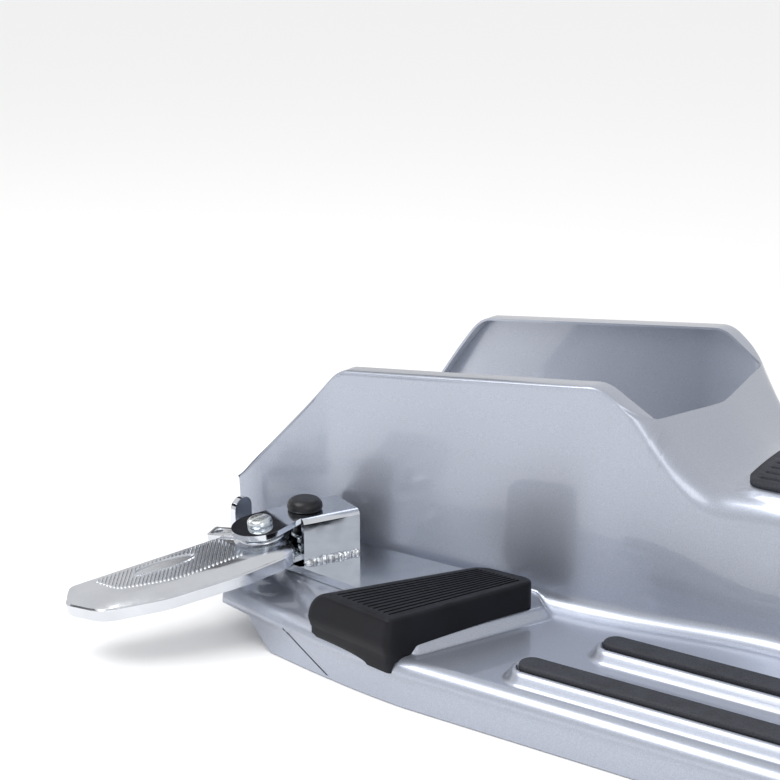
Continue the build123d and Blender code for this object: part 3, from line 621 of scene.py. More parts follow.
def node_group(name, inputs, outputs):
    """New shader node group with float inputs (name, default) and float outputs."""
    group = bpy.data.node_groups.new(name, "ShaderNodeTree")
    for label, default in inputs:
        socket = group.interface.new_socket(name=label, in_out="INPUT", socket_type="NodeSocketFloat")
        socket.default_value = default
    for label in outputs:
        group.interface.new_socket(name=label, in_out="OUTPUT", socket_type="NodeSocketFloat")
    return group, group.nodes.new("NodeGroupInput"), group.nodes.new("NodeGroupOutput")


def ramp(group, value, low, high):
    """Map Range node from low..high to 0..1; low and high are numbers or sockets."""
    node = group.nodes.new("ShaderNodeMapRange")
    group.links.new(value, node.inputs["Value"])
    for name, bound in (("From Min", low), ("From Max", high)):
        if isinstance(bound, bpy.types.NodeSocket):
            group.links.new(bound, node.inputs[name])
        else:
            node.inputs[name].default_value = bound
    return node.outputs["Result"]


def speckle_group():
    """Soft blotches or fine flakes, by scale."""
    group, given, result = node_group("Speckle", [("Scale", 100), ("Low", 0.35), ("High", 0.65)], ["Mask"])
    place = group.nodes.new("ShaderNodeTexCoord")
    noise = group.nodes.new("ShaderNodeTexNoise")
    noise.inputs["Detail"].default_value = 4
    group.links.new(place.outputs["Object"], noise.inputs["Vector"])
    group.links.new(given.outputs["Scale"], noise.inputs["Scale"])
    mask = ramp(group, noise.outputs["Fac"], given.outputs["Low"], given.outputs["High"])
    group.links.new(mask, result.inputs["Mask"])
    return group


def grain_group():
    """Moulded leather-like grain: rounded cells broken up by noise."""
    group, given, result = node_group("Moulded grain", [("Scale", 1200)], ["Height", "Mask"])
    place = group.nodes.new("ShaderNodeTexCoord")
    cells = group.nodes.new("ShaderNodeTexVoronoi")
    cells.feature = "SMOOTH_F1"
    group.links.new(place.outputs["Object"], cells.inputs["Vector"])
    group.links.new(given.outputs["Scale"], cells.inputs["Scale"])
    height = ramp(group, cells.outputs["Distance"], 0.7, 0.1)
    group.links.new(height, result.inputs["Height"])
    blot = group.nodes.new("ShaderNodeTexNoise")
    blot.inputs["Scale"].default_value = 60
    group.links.new(place.outputs["Object"], blot.inputs["Vector"])
    group.links.new(ramp(group, blot.outputs["Fac"], 0.35, 0.7), result.inputs["Mask"])
    return group


def brush_group():
    """Fine polishing lines that run along one direction in plan."""
    group, given, result = node_group("Polishing lines", [("Scale", 300), ("Turn", 0)], ["Height", "Mask"])
    place = group.nodes.new("ShaderNodeTexCoord")
    turn = group.nodes.new("ShaderNodeVectorRotate")
    turn.rotation_type = "Z_AXIS"
    stretch = group.nodes.new("ShaderNodeMapping")
    stretch.inputs["Scale"].default_value = (0.04, 1, 1)
    noise = group.nodes.new("ShaderNodeTexNoise")
    noise.inputs["Detail"].default_value = 3
    group.links.new(place.outputs["Object"], turn.inputs["Vector"])
    group.links.new(given.outputs["Turn"], turn.inputs["Angle"])
    group.links.new(turn.outputs["Vector"], stretch.inputs["Vector"])
    group.links.new(stretch.outputs["Vector"], noise.inputs["Vector"])
    group.links.new(given.outputs["Scale"], noise.inputs["Scale"])
    group.links.new(noise.outputs["Fac"], result.inputs["Height"])
    group.links.new(ramp(group, noise.outputs["Fac"], 0.3, 0.7), result.inputs["Mask"])
    return group


def dust_group():
    """Thin dust that settles on surfaces that face up, in uneven patches."""
    group, given, result = node_group("Settled dust", [("Scale", 40), ("Amount", 0.2)], ["Mask"])
    place = group.nodes.new("ShaderNodeTexCoord")
    facing = group.nodes.new("ShaderNodeNewGeometry")
    split = group.nodes.new("ShaderNodeSeparateXYZ")
    noise = group.nodes.new("ShaderNodeTexNoise")
    noise.inputs["Detail"].default_value = 6
    group.links.new(facing.outputs["Normal"], split.inputs["Vector"])
    group.links.new(place.outputs["Object"], noise.inputs["Vector"])
    group.links.new(given.outputs["Scale"], noise.inputs["Scale"])
    level = ramp(group, split.outputs["Z"], 0.3, 1)
    patch = ramp(group, noise.outputs["Fac"], 0.35, 0.75)
    both = group.nodes.new("ShaderNodeMath")
    both.operation = "MULTIPLY"
    group.links.new(level, both.inputs[0])
    group.links.new(patch, both.inputs[1])
    share = group.nodes.new("ShaderNodeMath")
    share.operation = "MULTIPLY"
    group.links.new(both.outputs["Value"], share.inputs[0])
    group.links.new(given.outputs["Amount"], share.inputs[1])
    group.links.new(share.outputs["Value"], result.inputs["Mask"])
    return group


GROUP_MAKERS = {"Speckle": speckle_group, "Moulded grain": grain_group, "Polishing lines": brush_group,
                "Settled dust": dust_group}


class Finish:
    """A material under construction, with helpers that place groups and join sockets."""

    def __init__(self, name, metallic, coat=0.0, coat_roughness=0.03, specular=0.5):
        self.material = bpy.data.materials.new(name)
        self.material.use_nodes = True
        self.tree = self.material.node_tree
        self.shader = self.tree.nodes["Principled BSDF"]
        self.shader.inputs["Metallic"].default_value = metallic
        self.shader.inputs["Coat Weight"].default_value = coat
        self.shader.inputs["Coat Roughness"].default_value = coat_roughness
        self.shader.inputs["Specular IOR Level"].default_value = specular

    def group(self, name, **values):
        node = self.tree.nodes.new("ShaderNodeGroup")
        node.node_tree = bpy.data.node_groups.get(name) or GROUP_MAKERS[name]()
        for label, value in values.items():
            node.inputs[label.replace("_", " ")].default_value = value
        return node

    def mix(self, mask, low, high):
        """Colour between two by a mask; low may be a socket."""
        node = self.tree.nodes.new("ShaderNodeMix")
        node.data_type = "RGBA"
        self.tree.links.new(mask, node.inputs["Factor"])
        for socket, value in ((node.inputs[6], low), (node.inputs[7], high)):
            if isinstance(value, bpy.types.NodeSocket):
                self.tree.links.new(value, socket)
            else:
                socket.default_value = (*value, 1)
        return node.outputs[2]

    def spread(self, mask, low, high):
        """Value between low and high by a mask."""
        node = self.tree.nodes.new("ShaderNodeMapRange")
        self.tree.links.new(mask, node.inputs["Value"])
        node.inputs["To Min"].default_value = low
        node.inputs["To Max"].default_value = high
        return node.outputs["Result"]

    def feed(self, socket, value):
        self.tree.links.new(value, self.shader.inputs[socket])

    def bump(self, height, strength, distance, under=None):
        node = self.tree.nodes.new("ShaderNodeBump")
        node.inputs["Strength"].default_value = strength
        node.inputs["Distance"].default_value = distance
        self.tree.links.new(height, node.inputs["Height"])
        if under:
            self.tree.links.new(under, node.inputs["Normal"])
        return node.outputs["Normal"]


def shade(tint, factor):
    return tuple(min(c * factor, 1) for c in tint)


def silver_paint(tint):
    """Metallic paint under clear coat: flakes in colour and slope, a faint orange peel, thin dust."""
    finish = Finish("silver_paint", 0.72, coat=1.0, coat_roughness=0.04)
    flakes = finish.group("Speckle", Scale=1900, Low=0.36, High=0.66)
    clouds = finish.group("Speckle", Scale=14, Low=0.3, High=0.7)
    dust = finish.group("Settled dust", Scale=55, Amount=0.10)
    base = finish.mix(flakes.outputs["Mask"], shade(tint, 0.90), shade(tint, 1.12))
    finish.feed("Base Color", finish.mix(dust.outputs["Mask"], base, shade(tint, 0.86)))
    finish.feed("Roughness", finish.spread(clouds.outputs["Mask"], 0.34, 0.40))
    peel = finish.group("Speckle", Scale=420, Low=0.3, High=0.7)
    under = finish.bump(flakes.outputs["Mask"], 0.06, 0.0002)
    finish.feed("Normal", finish.bump(peel.outputs["Mask"], 0.03, 0.0002, under))
    return finish.material


def strip_rubber(tint):
    """Grained dark rubber with paler wear and dust."""
    finish = Finish("strip_rubber", 0, specular=0.25)
    grain = finish.group("Moulded grain", Scale=1400)
    dust = finish.group("Settled dust", Scale=120, Amount=0.35)
    base = finish.mix(grain.outputs["Height"], shade(tint, 0.7), shade(tint, 1.25))
    finish.feed("Base Color", finish.mix(dust.outputs["Mask"], base, shade(tint, 2.0)))
    finish.feed("Roughness", finish.spread(grain.outputs["Mask"], 0.58, 0.75))
    finish.feed("Normal", finish.bump(grain.outputs["Height"], 0.5, 0.0003))
    return finish.material


def pad_rubber(tint):
    """Satin black moulded rubber with a fine skin and faint blooming."""
    finish = Finish("pad_rubber", 0, specular=0.2)
    skin = finish.group("Moulded grain", Scale=2600)
    bloom = finish.group("Speckle", Scale=38, Low=0.38, High=0.7)
    dust = finish.group("Settled dust", Scale=160, Amount=0.3)
    base = finish.mix(bloom.outputs["Mask"], shade(tint, 0.8), shade(tint, 1.5))
    finish.feed("Base Color", finish.mix(dust.outputs["Mask"], base, shade(tint, 5)))
    finish.feed("Roughness", finish.spread(bloom.outputs["Mask"], 0.42, 0.56))
    finish.feed("Normal", finish.bump(skin.outputs["Height"], 0.14, 0.0002))
    return finish.material


def knob_rubber(tint):
    """Smooth polished black rubber of the stop buffers."""
    finish = Finish("knob_rubber", 0, specular=0.4)
    haze = finish.group("Speckle", Scale=90, Low=0.35, High=0.7)
    finish.feed("Base Color", finish.mix(haze.outputs["Mask"], shade(tint, 0.7), shade(tint, 1.3)))
    finish.feed("Roughness", finish.spread(haze.outputs["Mask"], 0.30, 0.42))
    finish.feed("Normal", finish.bump(haze.outputs["Mask"], 0.05, 0.0003))
    return finish.material


def chromed_steel(tint):
    """Bright chrome with faint handling marks and slightly uneven plate."""
    finish = Finish("chromed_steel", 1)
    marks = finish.group("Speckle", Scale=70, Low=0.4, High=0.75)
    wave = finish.group("Speckle", Scale=28, Low=0.2, High=0.8)
    finish.feed("Base Color", finish.mix(marks.outputs["Mask"], tint, shade(tint, 0.9)))
    finish.feed("Roughness", finish.spread(marks.outputs["Mask"], 0.05, 0.16))
    finish.feed("Normal", finish.bump(wave.outputs["Mask"], 0.05, 0.0006))
    return finish.material


def polished_alloy(tint):
    """Polished casting with fine lines along the blade and soft clouding."""
    finish = Finish("polished_alloy", 1)
    lines = finish.group("Polishing lines", Scale=1500, Turn=math.radians(-(PEG_ANGLE + PEG_YAW)))
    cloud = finish.group("Speckle", Scale=60, Low=0.35, High=0.7)
    finish.feed("Base Color", finish.mix(cloud.outputs["Mask"], tint, shade(tint, 0.92)))
    finish.feed("Roughness", finish.spread(lines.outputs["Mask"], 0.14, 0.26))
    finish.feed("Normal", finish.bump(lines.outputs["Height"], 0.05, 0.0001))
    return finish.material


def satin_casting(name, tint, roughness):
    """Satin casting: fine grit and soft clouding."""
    finish = Finish(name, 1)
    grit = finish.group("Speckle", Scale=1600, Low=0.35, High=0.65)
    cloud = finish.group("Speckle", Scale=45, Low=0.35, High=0.7)
    finish.feed("Base Color", finish.mix(cloud.outputs["Mask"], tint, shade(tint, 0.88)))
    finish.feed("Roughness", finish.spread(grit.outputs["Mask"], roughness, roughness + 0.12))
    finish.feed("Normal", finish.bump(grit.outputs["Mask"], 0.08, 0.0001))
    return finish.material


# Satin tread of the peg: its grit and roughness are real, its tint lifted above the alloy's is painted light
def tread_alloy(tint):
    return satin_casting("tread_alloy", shade(tint, 1.08), 0.45)


# The peg's alloy at about half its tint: painted shade on the blade's side, foot rim, pocket and lug
def cast_alloy(tint):
    return satin_casting("cast_alloy", shade(tint, 0.52), 0.22)


def zinc_steel(tint):
    """Zinc plate: fine crystals and a faint blue and straw tint."""
    finish = Finish("zinc_steel", 1)
    crystals = finish.group("Speckle", Scale=800, Low=0.35, High=0.65)
    cast = finish.group("Speckle", Scale=110, Low=0.35, High=0.65)
    straw = (tint[0] * 1.03, tint[1], tint[2] * 0.95)
    finish.feed("Base Color", finish.mix(cast.outputs["Mask"], tint, straw))
    finish.feed("Roughness", finish.spread(crystals.outputs["Mask"], 0.18, 0.32))
    finish.feed("Normal", finish.bump(crystals.outputs["Mask"], 0.06, 0.0001))
    return finish.material


def weld_metal(tint):
    """Rough plated weld with bright and burnt spots."""
    finish = Finish("weld_metal", 1)
    spots = finish.group("Speckle", Scale=520, Low=0.35, High=0.6)
    lumps = finish.group("Speckle", Scale=900, Low=0.2, High=0.8)
    finish.feed("Base Color", finish.mix(spots.outputs["Mask"], shade(tint, 0.55), shade(tint, 1.3)))
    finish.feed("Roughness", finish.spread(lumps.outputs["Mask"], 0.22, 0.5))
    finish.feed("Normal", finish.bump(lumps.outputs["Mask"], 0.5, 0.0006))
    return finish.material


FINISHES = {"silver_paint": (silver_paint, "paint"), "strip_rubber": (strip_rubber, "strip"),
            "pad_rubber": (pad_rubber, "pad"), "knob_rubber": (knob_rubber, "pad"),
            "chromed_steel": (chromed_steel, "chrome"), "polished_alloy": (polished_alloy, "alloy"),
            "tread_alloy": (tread_alloy, "alloy"), "cast_alloy": (cast_alloy, "alloy"),
            "zinc_steel": (zinc_steel, "zinc"), "weld_metal": (weld_metal, "weld")}


def finish_of(context, name):
    """Material of that finish, made on first use."""
    maker, tint = FINISHES[name]
    made = bpy.data.materials.get(name)
    if made and made.get("floorboard"):
        return made
    material = maker(tuple(getattr(sizes(context, "colours"), tint)))
    material["floorboard"] = True
    return material


def polish_node(context, node, finish, bevel=0.0):
    """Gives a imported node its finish, smooth shading and, on request, softened edges."""
    piece = NODES[node]
    piece.data.materials.clear()
    piece.data.materials.append(finish_of(context, finish))
    piece.data.shade_smooth()
    weld = piece.modifiers.new("Weld", "WELD")
    weld.merge_threshold = 2e-6
    if bevel:
        soft = piece.modifiers.new("Soft edges", "BEVEL")
        soft.width = bevel
        soft.segments = 2
        soft.limit_method = "ANGLE"
        soft.angle_limit = math.radians(40)
        even = piece.modifiers.new("Even normals", "WEIGHTED_NORMAL")
        even.weight = 100
    else:
        bpy.context.view_layer.objects.active = piece
        piece.data.set_sharp_from_angle(angle=math.radians(35))


# Operators

class FLOORBOARD_OT_panel(bpy.types.Operator):
    """Builds the pressed panel with its pressings, lips and bolted flanges"""
    bl_idname = "floorboard.panel"
    bl_label = "Pressed panel"

    def execute(self, context):
        panel = sizes(context, "panel")
        points = panel_grid(panel)
        skin = bmesh.new()
        add_grid(skin, points)
        add_grid(skin, points * (1, -1, 1), flip=True)
        self.slit(skin)
        piece = new_object("pressed_panel", finish_mesh(skin, "pressed_panel", weld=4e-6, recalc=False,
                                                          sharp=PANEL_SHARP))
        sheet = piece.modifiers.new("Sheet", "SOLIDIFY")
        sheet.thickness = panel.sheet
        sheet.offset = -1
        sheet.use_quality_normals = True
        apply_modifiers(piece)
        whole = bmesh.new()
        whole.from_mesh(piece.data)
        for side in (-1, 1):
            for start, end in ((FRONT_X, SLIT_FOOT[0] + SLIT_WIDTH), (SLIT_FOOT[0], SKIRT_END_X)):
                flange = self.flange(panel.sheet, side, start, end)
                add_mesh(whole, flange, Matrix.Translation((0, 0, panel.sheet / 2)))
        piece.data = finish_mesh(whole, "pressed_panel", weld=1e-7, recalc=False, sharp=PANEL_SHARP)
        dress(piece, finish_of(context, "silver_paint"), "floorboard", "silver_paint", "floor_panel")
        return {"FINISHED"}

    @staticmethod
    def slit(skin):
        """Opens the slanted slit in both skirts of the skin."""
        foot = Vector((SLIT_FOOT[0], 0, SLIT_FOOT[1]))
        run = Vector((SLIT_TOP[0], 0, SLIT_TOP[1])) - foot
        across = Vector((run.z, 0, -run.x)).normalized()
        low_x, high_x = SLIT_TOP[0] - SLIT_WIDTH, SLIT_FOOT[0] + 4 * SLIT_WIDTH

        def around():
            places = [(face, face.calc_center_median()) for face in skin.faces]
            return [(face, at) for face, at in places
                    if low_x < at.x < high_x and at.z < SLIT_TOP[1] and abs(at.y) > WALL_TOP_HALF * 1.5]

        for shift in (0, SLIT_WIDTH):
            faces = [face for face, _ in around()]
            parts = set(faces) | {e for f in faces for e in f.edges} | {v for f in faces for v in f.verts}
            bmesh.ops.bisect_plane(skin, geom=list(parts), dist=1e-6, plane_co=foot + Vector((shift, 0, 0)),
                                   plane_no=across)
        inside = [face for face, at in around() if 0 < (at - foot) @ across < SLIT_WIDTH * across.x]
        bmesh.ops.delete(skin, geom=inside, context="FACES")

    @staticmethod
    def flange(sheet, side, start, end):
        """Turned-in flange along the skirt's foot, with its frame bolt holes."""
        x_values = np.linspace(start, end, 30)
        outer = [(x, side * (edge_half(x) - sheet / 4 - CREASE_STEP)) for x in x_values]
        inner = [(x, side * (edge_half(x) - FLANGE_WIDTH)) for x in x_values[::-1]]
        holes = [circle((x, side * BOLT_Y), BOLT_HOLE) for x in (-BOLT_X, BOLT_X) if end < x < start]
        return plate_mesh(outer + inner, holes, sheet)


class FLOORBOARD_OT_heel_pads(bpy.types.Operator):
    """Builds the heel pads: rolled rear edge, bulged outer end and cut tread grooves"""
    bl_idname = "floorboard.heel_pads"
    bl_label = "Heel pads"

    def execute(self, context):
        pad = sizes(context, "pad")
        body = new_object("right_pad", self.body(pad))
        cut_away(body, self.grooves(pad))
        body.data.shade_smooth()
        body.data.set_sharp_from_angle(angle=math.radians(32))
        left = new_object("left_pad", mirrored(body.data, "left_pad"))
        for side, piece in (("right", body), ("left", left)):
            dress(piece, finish_of(context, "pad_rubber"), "floorboard", "pad_rubber", side + "_heel_pad")
        return {"FINISHED"}

    @staticmethod
    def corners(front, inner, rear, outer):
        """Corners in plan with each side moved in by its own distance."""
        places = np.array(PAD_CORNERS)
        moved = []
        for index, inset in enumerate((front, inner, rear, outer)):
            start, end = places[index], places[(index + 1) % 4]
            run = (end - start) / np.linalg.norm(end - start)
            moved.append((start + np.array([-run[1], run[0]]) * inset, run))
        meets = []
        for index in range(4):
            (first, run), (second, other) = moved[index - 1], moved[index]
            share = np.linalg.solve(np.column_stack([run, -other]), second - first)[0]
            meets.append(first + run * share)
        return meets

    def top_corners(self, pad):
        return self.corners(pad.rounding, pad.rounding, pad.roll, pad.outer_slope + pad.rounding)

    def body(self, pad):
        """Solid pad as rings from its foot to its top: rolled to the rear, bulged at the outer end."""
        levels = [(PAD_BASE_Z, pad.band_step), (PAD_BAND_Z - BAND_LEDGE, pad.band_step), (PAD_BAND_Z, 0),
                  (PAD_BULGE_Z - BULGE_EASE, -pad.bulge * 0.8), (PAD_BULGE_Z, -pad.bulge)]
        rise = PAD_TOP_Z - PAD_BULGE_Z
        for turn in np.linspace(0.1, 1, 14):
            share = math.sin(turn * math.pi / 2)
            z = PAD_BULGE_Z + rise * share
            lean = blend(-pad.bulge, pad.outer_slope, share) + self.rounded_in(z, pad.rounding)
            levels.append((z, lean))
        rings = []
        for z, outer in levels:
            front = self.rounded_in(z, pad.rounding)
            corners = self.corners(front, front, self.rounded_in(z, pad.roll), outer)
            radii = [pad.corner, PAD_INNER_CORNER, PAD_REAR_CORNER, pad.corner]
            outline = evenly(rounded_outline(corners, radii, 10), 200, closed=True)
            rings.append(np.column_stack([outline, np.full(len(outline), z)]))
        x, y = rings[0][:, 0], -rings[0][:, 1]
        for index, ring in enumerate(rings[:4]):
            ring[:, 2] = np.maximum(ring[:, 2], self.seat_z(x, y) + RING_GAP * index)
        middle = rings[0].mean(0)
        under = [rings[0]]
        for share in (0.97, 0.93, 0.85, 0.6, 0.3, 0.02):
            ring = middle + (rings[0] - middle) * share
            ring[:, 2] = self.seat_z(ring[:, 0], -ring[:, 1])
            under.append(ring)
        build = bmesh.new()
        add_grid(build, np.array(under[::-1] + rings[1:]), closed=True, caps=(True, True))
        return finish_mesh(build, "right_pad")

    @staticmethod
    def rounded_in(z, radius):
        """How far a side has moved in at z by the rounding of the top edge."""
        share = np.clip((z - PAD_TOP_Z + radius) / radius, 0, 1)
        return radius * (1 - math.sqrt(1 - share * share))

    @staticmethod
    def seat_z(x, y):
        """Height of the panel under the pad, down over the floor's rounded edge."""
        past = np.clip(y - edge_half(x) + EDGE_RADIUS, 0, EDGE_RADIUS)
        drop = EDGE_RADIUS - np.sqrt(EDGE_RADIUS ** 2 - past ** 2)
        return FLOOR_Z + floor_lift(x, y) * (past < EDGE_RADIUS / 2) - drop + SEAT_GAP

    def grooves(self, pad):
        """Row of groove cutters with round bottoms, fanned between the pad's front and rear edges."""
        top = self.top_corners(pad)
        build = bmesh.new()
        profile = [(-1, 2.0), (-1, -0.2), (-0.7, -0.75), (0, -1), (0.7, -0.75), (1, -0.2), (1, 2.0)]
        for index in range(GROOVE_COUNT):
            share = (index + 1.4) / (GROOVE_COUNT + 0.9)
            outer = blend(top[0], top[3], share)
            inner = blend(top[1], top[2], share)
            along = (inner - outer) / np.linalg.norm(inner - outer)
            across = np.array([-along[1], along[0]]) * pad.groove_width / 2
            start, end = outer + along * GROOVE_OUTER_MARGIN, inner - along * GROOVE_INNER_MARGIN
            rows = [[(*(spot + across * a), PAD_TOP_Z + pad.groove_depth * z) for a, z in profile]
                    for spot in (start, end)]
            add_grid(build, np.array(rows), closed=True, caps=(True, True))
        return finish_mesh(build, "pad_grooves")


class FLOORBOARD_OT_footpegs(bpy.types.Operator):
    """Builds the cast footpegs: bowed blade with a polished rim, ridged tread, hub and lug"""
    bl_idname = "floorboard.footpegs"
    bl_label = "Footpegs"

    def execute(self, context):
        peg = sizes(context, "peg")
        build = bmesh.new()
        self.blade(build, peg)
        self.ridges(build, peg)
        self.hub(build, peg)
        mesh = finish_mesh(build, "right_peg_casting", weld=1e-7, sharp=math.radians(30), recalc=False)
        turn, tilt, yaw = (math.radians(angle) for angle in (PEG_ANGLE, PEG_TILT, PEG_YAW))
        pivot = Matrix.Translation(Vector(PEG_JOINT["pos_m"])) @ Matrix.Rotation(turn, 4, "Z")
        pivot = pivot @ Matrix.Rotation(tilt, 4, "Y") @ Matrix.Translation((0, 0, BLADE_TOP))
        mesh.transform(pivot @ Matrix.Rotation(yaw, 4, "Z"))
        meshes = (mesh, mirrored(mesh, "left_peg_casting"))
        for (side, _), form in zip(SIDES, meshes):
            piece = new_object(side + "_peg_casting", form)
            finish = finish_of(context, "polished_alloy")
            dress(piece, finish, side + "_peg", "polished_alloy", side + "_footpeg")
            # Second finish: the tread's alloy with its tint lifted as painted light
            piece.data.materials.append(finish_of(context, "tread_alloy"))
            # Third finish: the same alloy darkened as painted shade
            piece.data.materials.append(finish_of(context, "cast_alloy"))
        return {"FINISHED"}

    @staticmethod
    def outlines(count=220):
        """Blade outline and, on the same rays from the tread's middle, the tread outline."""
        blade = rounded_outline(np.array(BLADE_POINTS) / 1000, np.array(BLADE_RADII) / 1000, 12)
        blade = evenly(blade, count, True)
        tread = rounded_outline(np.array(TREAD_POINTS) / 1000, np.array(TREAD_RADII) / 1000, 12)
        tread = evenly(tread, 4 * count, True) - TREAD_CENTRE
        turn = np.arctan2(tread[:, 1], tread[:, 0])
        order = np.argsort(turn)
        reach = np.hypot(tread[:, 0], tread[:, 1])[order]
        rays = blade - TREAD_CENTRE
        wanted = np.arctan2(rays[:, 1], rays[:, 0])
        radius = np.interp(wanted, turn[order], reach, period=2 * math.pi)
        return blade, TREAD_CENTRE + np.stack([np.cos(wanted), np.sin(wanted)], 1) * radius[:, None]

    def blade(self, build, peg):
        """Closed blade: tread plane, sloping rim, side, foot rim and the pocket under it."""
        blade, tread = self.outlines()
        gap = np.linalg.norm(blade - tread, axis=1)
        middle = blade.mean(0)
        front = ease(blade[:, 1], *RIM_FADE)
        rows = [[(*TREAD_CENTRE, 0)] * len(blade)]
        for share in (0, 0.12, 0.25, 0.4, 0.55, 0.7, 0.82, 0.91, 0.97, 1):
            inside = np.clip((1 - share) * gap / peg.rim_width, 0, 1)
            drop = peg.rim_drop * front * (1 - inside) ** 1.7
            plan = blend(tread, blade, share)
            rows.append(np.column_stack([plan, -drop]))
        edge = rows[-1][:, 2]
        inward = (middle - blade) / np.linalg.norm(middle - blade, axis=1)[:, None]
        lower = [(0, 0.0012), (-0.0004, 0.004), (0, peg.thickness - 0.0016), (0.0006, peg.thickness - 0.0004),
                 (0.0018, peg.thickness), (FOOT_RIM, peg.thickness), (0.0050, peg.thickness - 0.0015),
                 (0.0058, 0.0050), (0.008, -POCKET_Z)]
        rows[-1] = np.column_stack([blade + inward * EDGE_INSET, edge])
        for inset, depth in lower:
            rows.append(np.column_stack([blade + inward * inset, np.minimum(edge - EDGE_DROP, -depth)]))
        rows.append(np.column_stack([np.repeat(middle[None], len(blade), 0), np.full(len(blade), POCKET_Z)]))
        rows = np.array([np.asarray(row) for row in rows])
        # The tread plane takes the second finish, whose lifted tint is painted light
        add_grid(build, rows[:2], closed=True, coat=1)
        add_grid(build, rows[1:12], closed=True)
        # Side, foot rim and pocket take the third finish, the alloy darkened as painted shade
        add_grid(build, rows[11:], closed=True, coat=2)

    def ridges(self, build, peg):
        """Fine ridges across the tread that stop at its outline and around the plain oval."""
        _, tread = self.outlines()
        angle = math.radians(RIDGE_ANGLE)
        along = np.array([math.cos(angle), math.sin(angle)])
        across = np.array([math.sin(angle), -math.cos(angle)])
        oval = np.array(OVAL_CENTRE)
        half = np.array([peg.badge_length, peg.badge_width]) / 2
        offsets = (tread - oval) @ across
        first = math.ceil(offsets.min() / peg.ridge_pitch)
        for index in range(first, math.floor(offsets.max() / peg.ridge_pitch) + 1):
            base = oval + across * index * peg.ridge_pitch
            spans = self.inside_spans(base, along, tread, oval, half + OVAL_GAP)
            for low, high in spans:
                self.ridge(build, peg, base, along, across, low + RIDGE_END_GAP, high - RIDGE_END_GAP)
        turns = np.linspace(0, 2 * math.pi, 72, endpoint=False)
        rim = []
        for grow, rise in OVAL_RIM:
            rim.append([(oval[0] + (half[0] + grow) * math.cos(t), oval[1] + (half[1] + grow) * math.sin(t),
                         rise * peg.ridge_height) for t in turns])
        add_grid(build, np.array(rim), closed=True, flip=True, coat=1)

    @staticmethod
    def inside_spans(base, along, outline, oval, half):
        """Stretches of a line inside the outline and outside the oval."""
        cuts = []
        for start, end in zip(outline, np.roll(outline, -1, axis=0)):
            run = end - start
            cross = along[0] * run[1] - along[1] * run[0]
            if abs(cross) < 1e-12:
                continue
            share = (along[0] * (base - start)[1] - along[1] * (base - start)[0]) / cross
            if 0 <= share < 1:
                cuts.append(float((start + run * share - base) @ along))
        if len(cuts) < 2:
            return []
        low, high = min(cuts), max(cuts)
        p, d = (base - oval) / half, along / half
        a, b, c = d @ d, p @ d, p @ p - 1
        spans = [(low, high)]
        if b * b - a * c > 0:
            root = math.sqrt(b * b - a * c)
            spans = [(low, (-b - root) / a), ((-b + root) / a, high)]
        return [(s, e) for s, e in spans if e - s > RIDGE_LEAST]

    @staticmethod
    def ridge(build, peg, base, along, across, low, high):
        half = peg.ridge_pitch / 2
        rise = peg.ridge_height
        rows = []
        for at, level in ((low, 0), (low + RIDGE_END_RUN, 1), (high - RIDGE_END_RUN, 1), (high, 0)):
            spot = base + along * at
            rows.append([(*(spot + across * half * w), -RIDGE_SINK + (rise + RIDGE_SINK) * h * level)
                         for w, h in ((-0.98, 0), (-0.25, 1), (0.25, 1), (0.98, 0))])
        add_grid(build, np.array(rows), coat=1)

    @staticmethod
    def hub(build, peg):
        """Turned hub with a hollowed flank, and the drilled lug behind it."""
        flank = [(PIN_HOLE, -peg.thickness), (PIN_HOLE, HUB_RISE), (HUB_RADIUS - HUB_EDGE, HUB_RISE),
                 (HUB_RADIUS, HUB_RISE - HUB_EDGE)]
        for share in (0.3, 0.6, 0.85, 1):
            reach = HUB_RADIUS + (HUB_FOOT - HUB_RADIUS) * share ** 2.5
            flank.append((reach, (HUB_RISE - HUB_EDGE) * (1 - share)))
        flank += [(HUB_FOOT - 0.003, -0.004), (HUB_RADIUS - 0.0005, -peg.thickness),
                  (PIN_HOLE, -peg.thickness)]
        add_grid(build, revolved(flank), closed=True)
        along = np.array(LUG) / np.hypot(*LUG)
        across = np.array([-along[1], along[0]]) * LUG_HALF
        end = np.array(LUG) + along * LUG_HALF
        block = rounded_outline([across, -across, end - across, end + across], LUG_CORNERS, 4)
        lug = plate_mesh(block, [circle(LUG, LUG_HOLE, 28)], LUG_DEPTH, HUB_EDGE)
        # The lug takes the third finish, the alloy darkened as painted shade
        for face in lug.polygons:
            face.material_index = 2
        add_mesh(build, lug, Matrix.Translation((0, 0, LUG_TOP - LUG_DEPTH / 2)))


class FLOORBOARD_OT_rubbers(bpy.types.Operator):
    """Gives the floor strips, the tunnel mat and the stop buffers their rubber finishes"""
    bl_idname = "floorboard.rubbers"
    bl_label = "Strips, mat and buffers"

    def execute(self, context):
        for side, _ in SIDES:
            for strip in ("outer_strip", "inner_strip"):
                polish_node(context, f"{side}_{strip}", "strip_rubber")
            polish_node(context, f"{side}_stop_buffer", "knob_rubber")
        polish_node(context, "tunnel_mat", "strip_rubber")
        return {"FINISHED"}


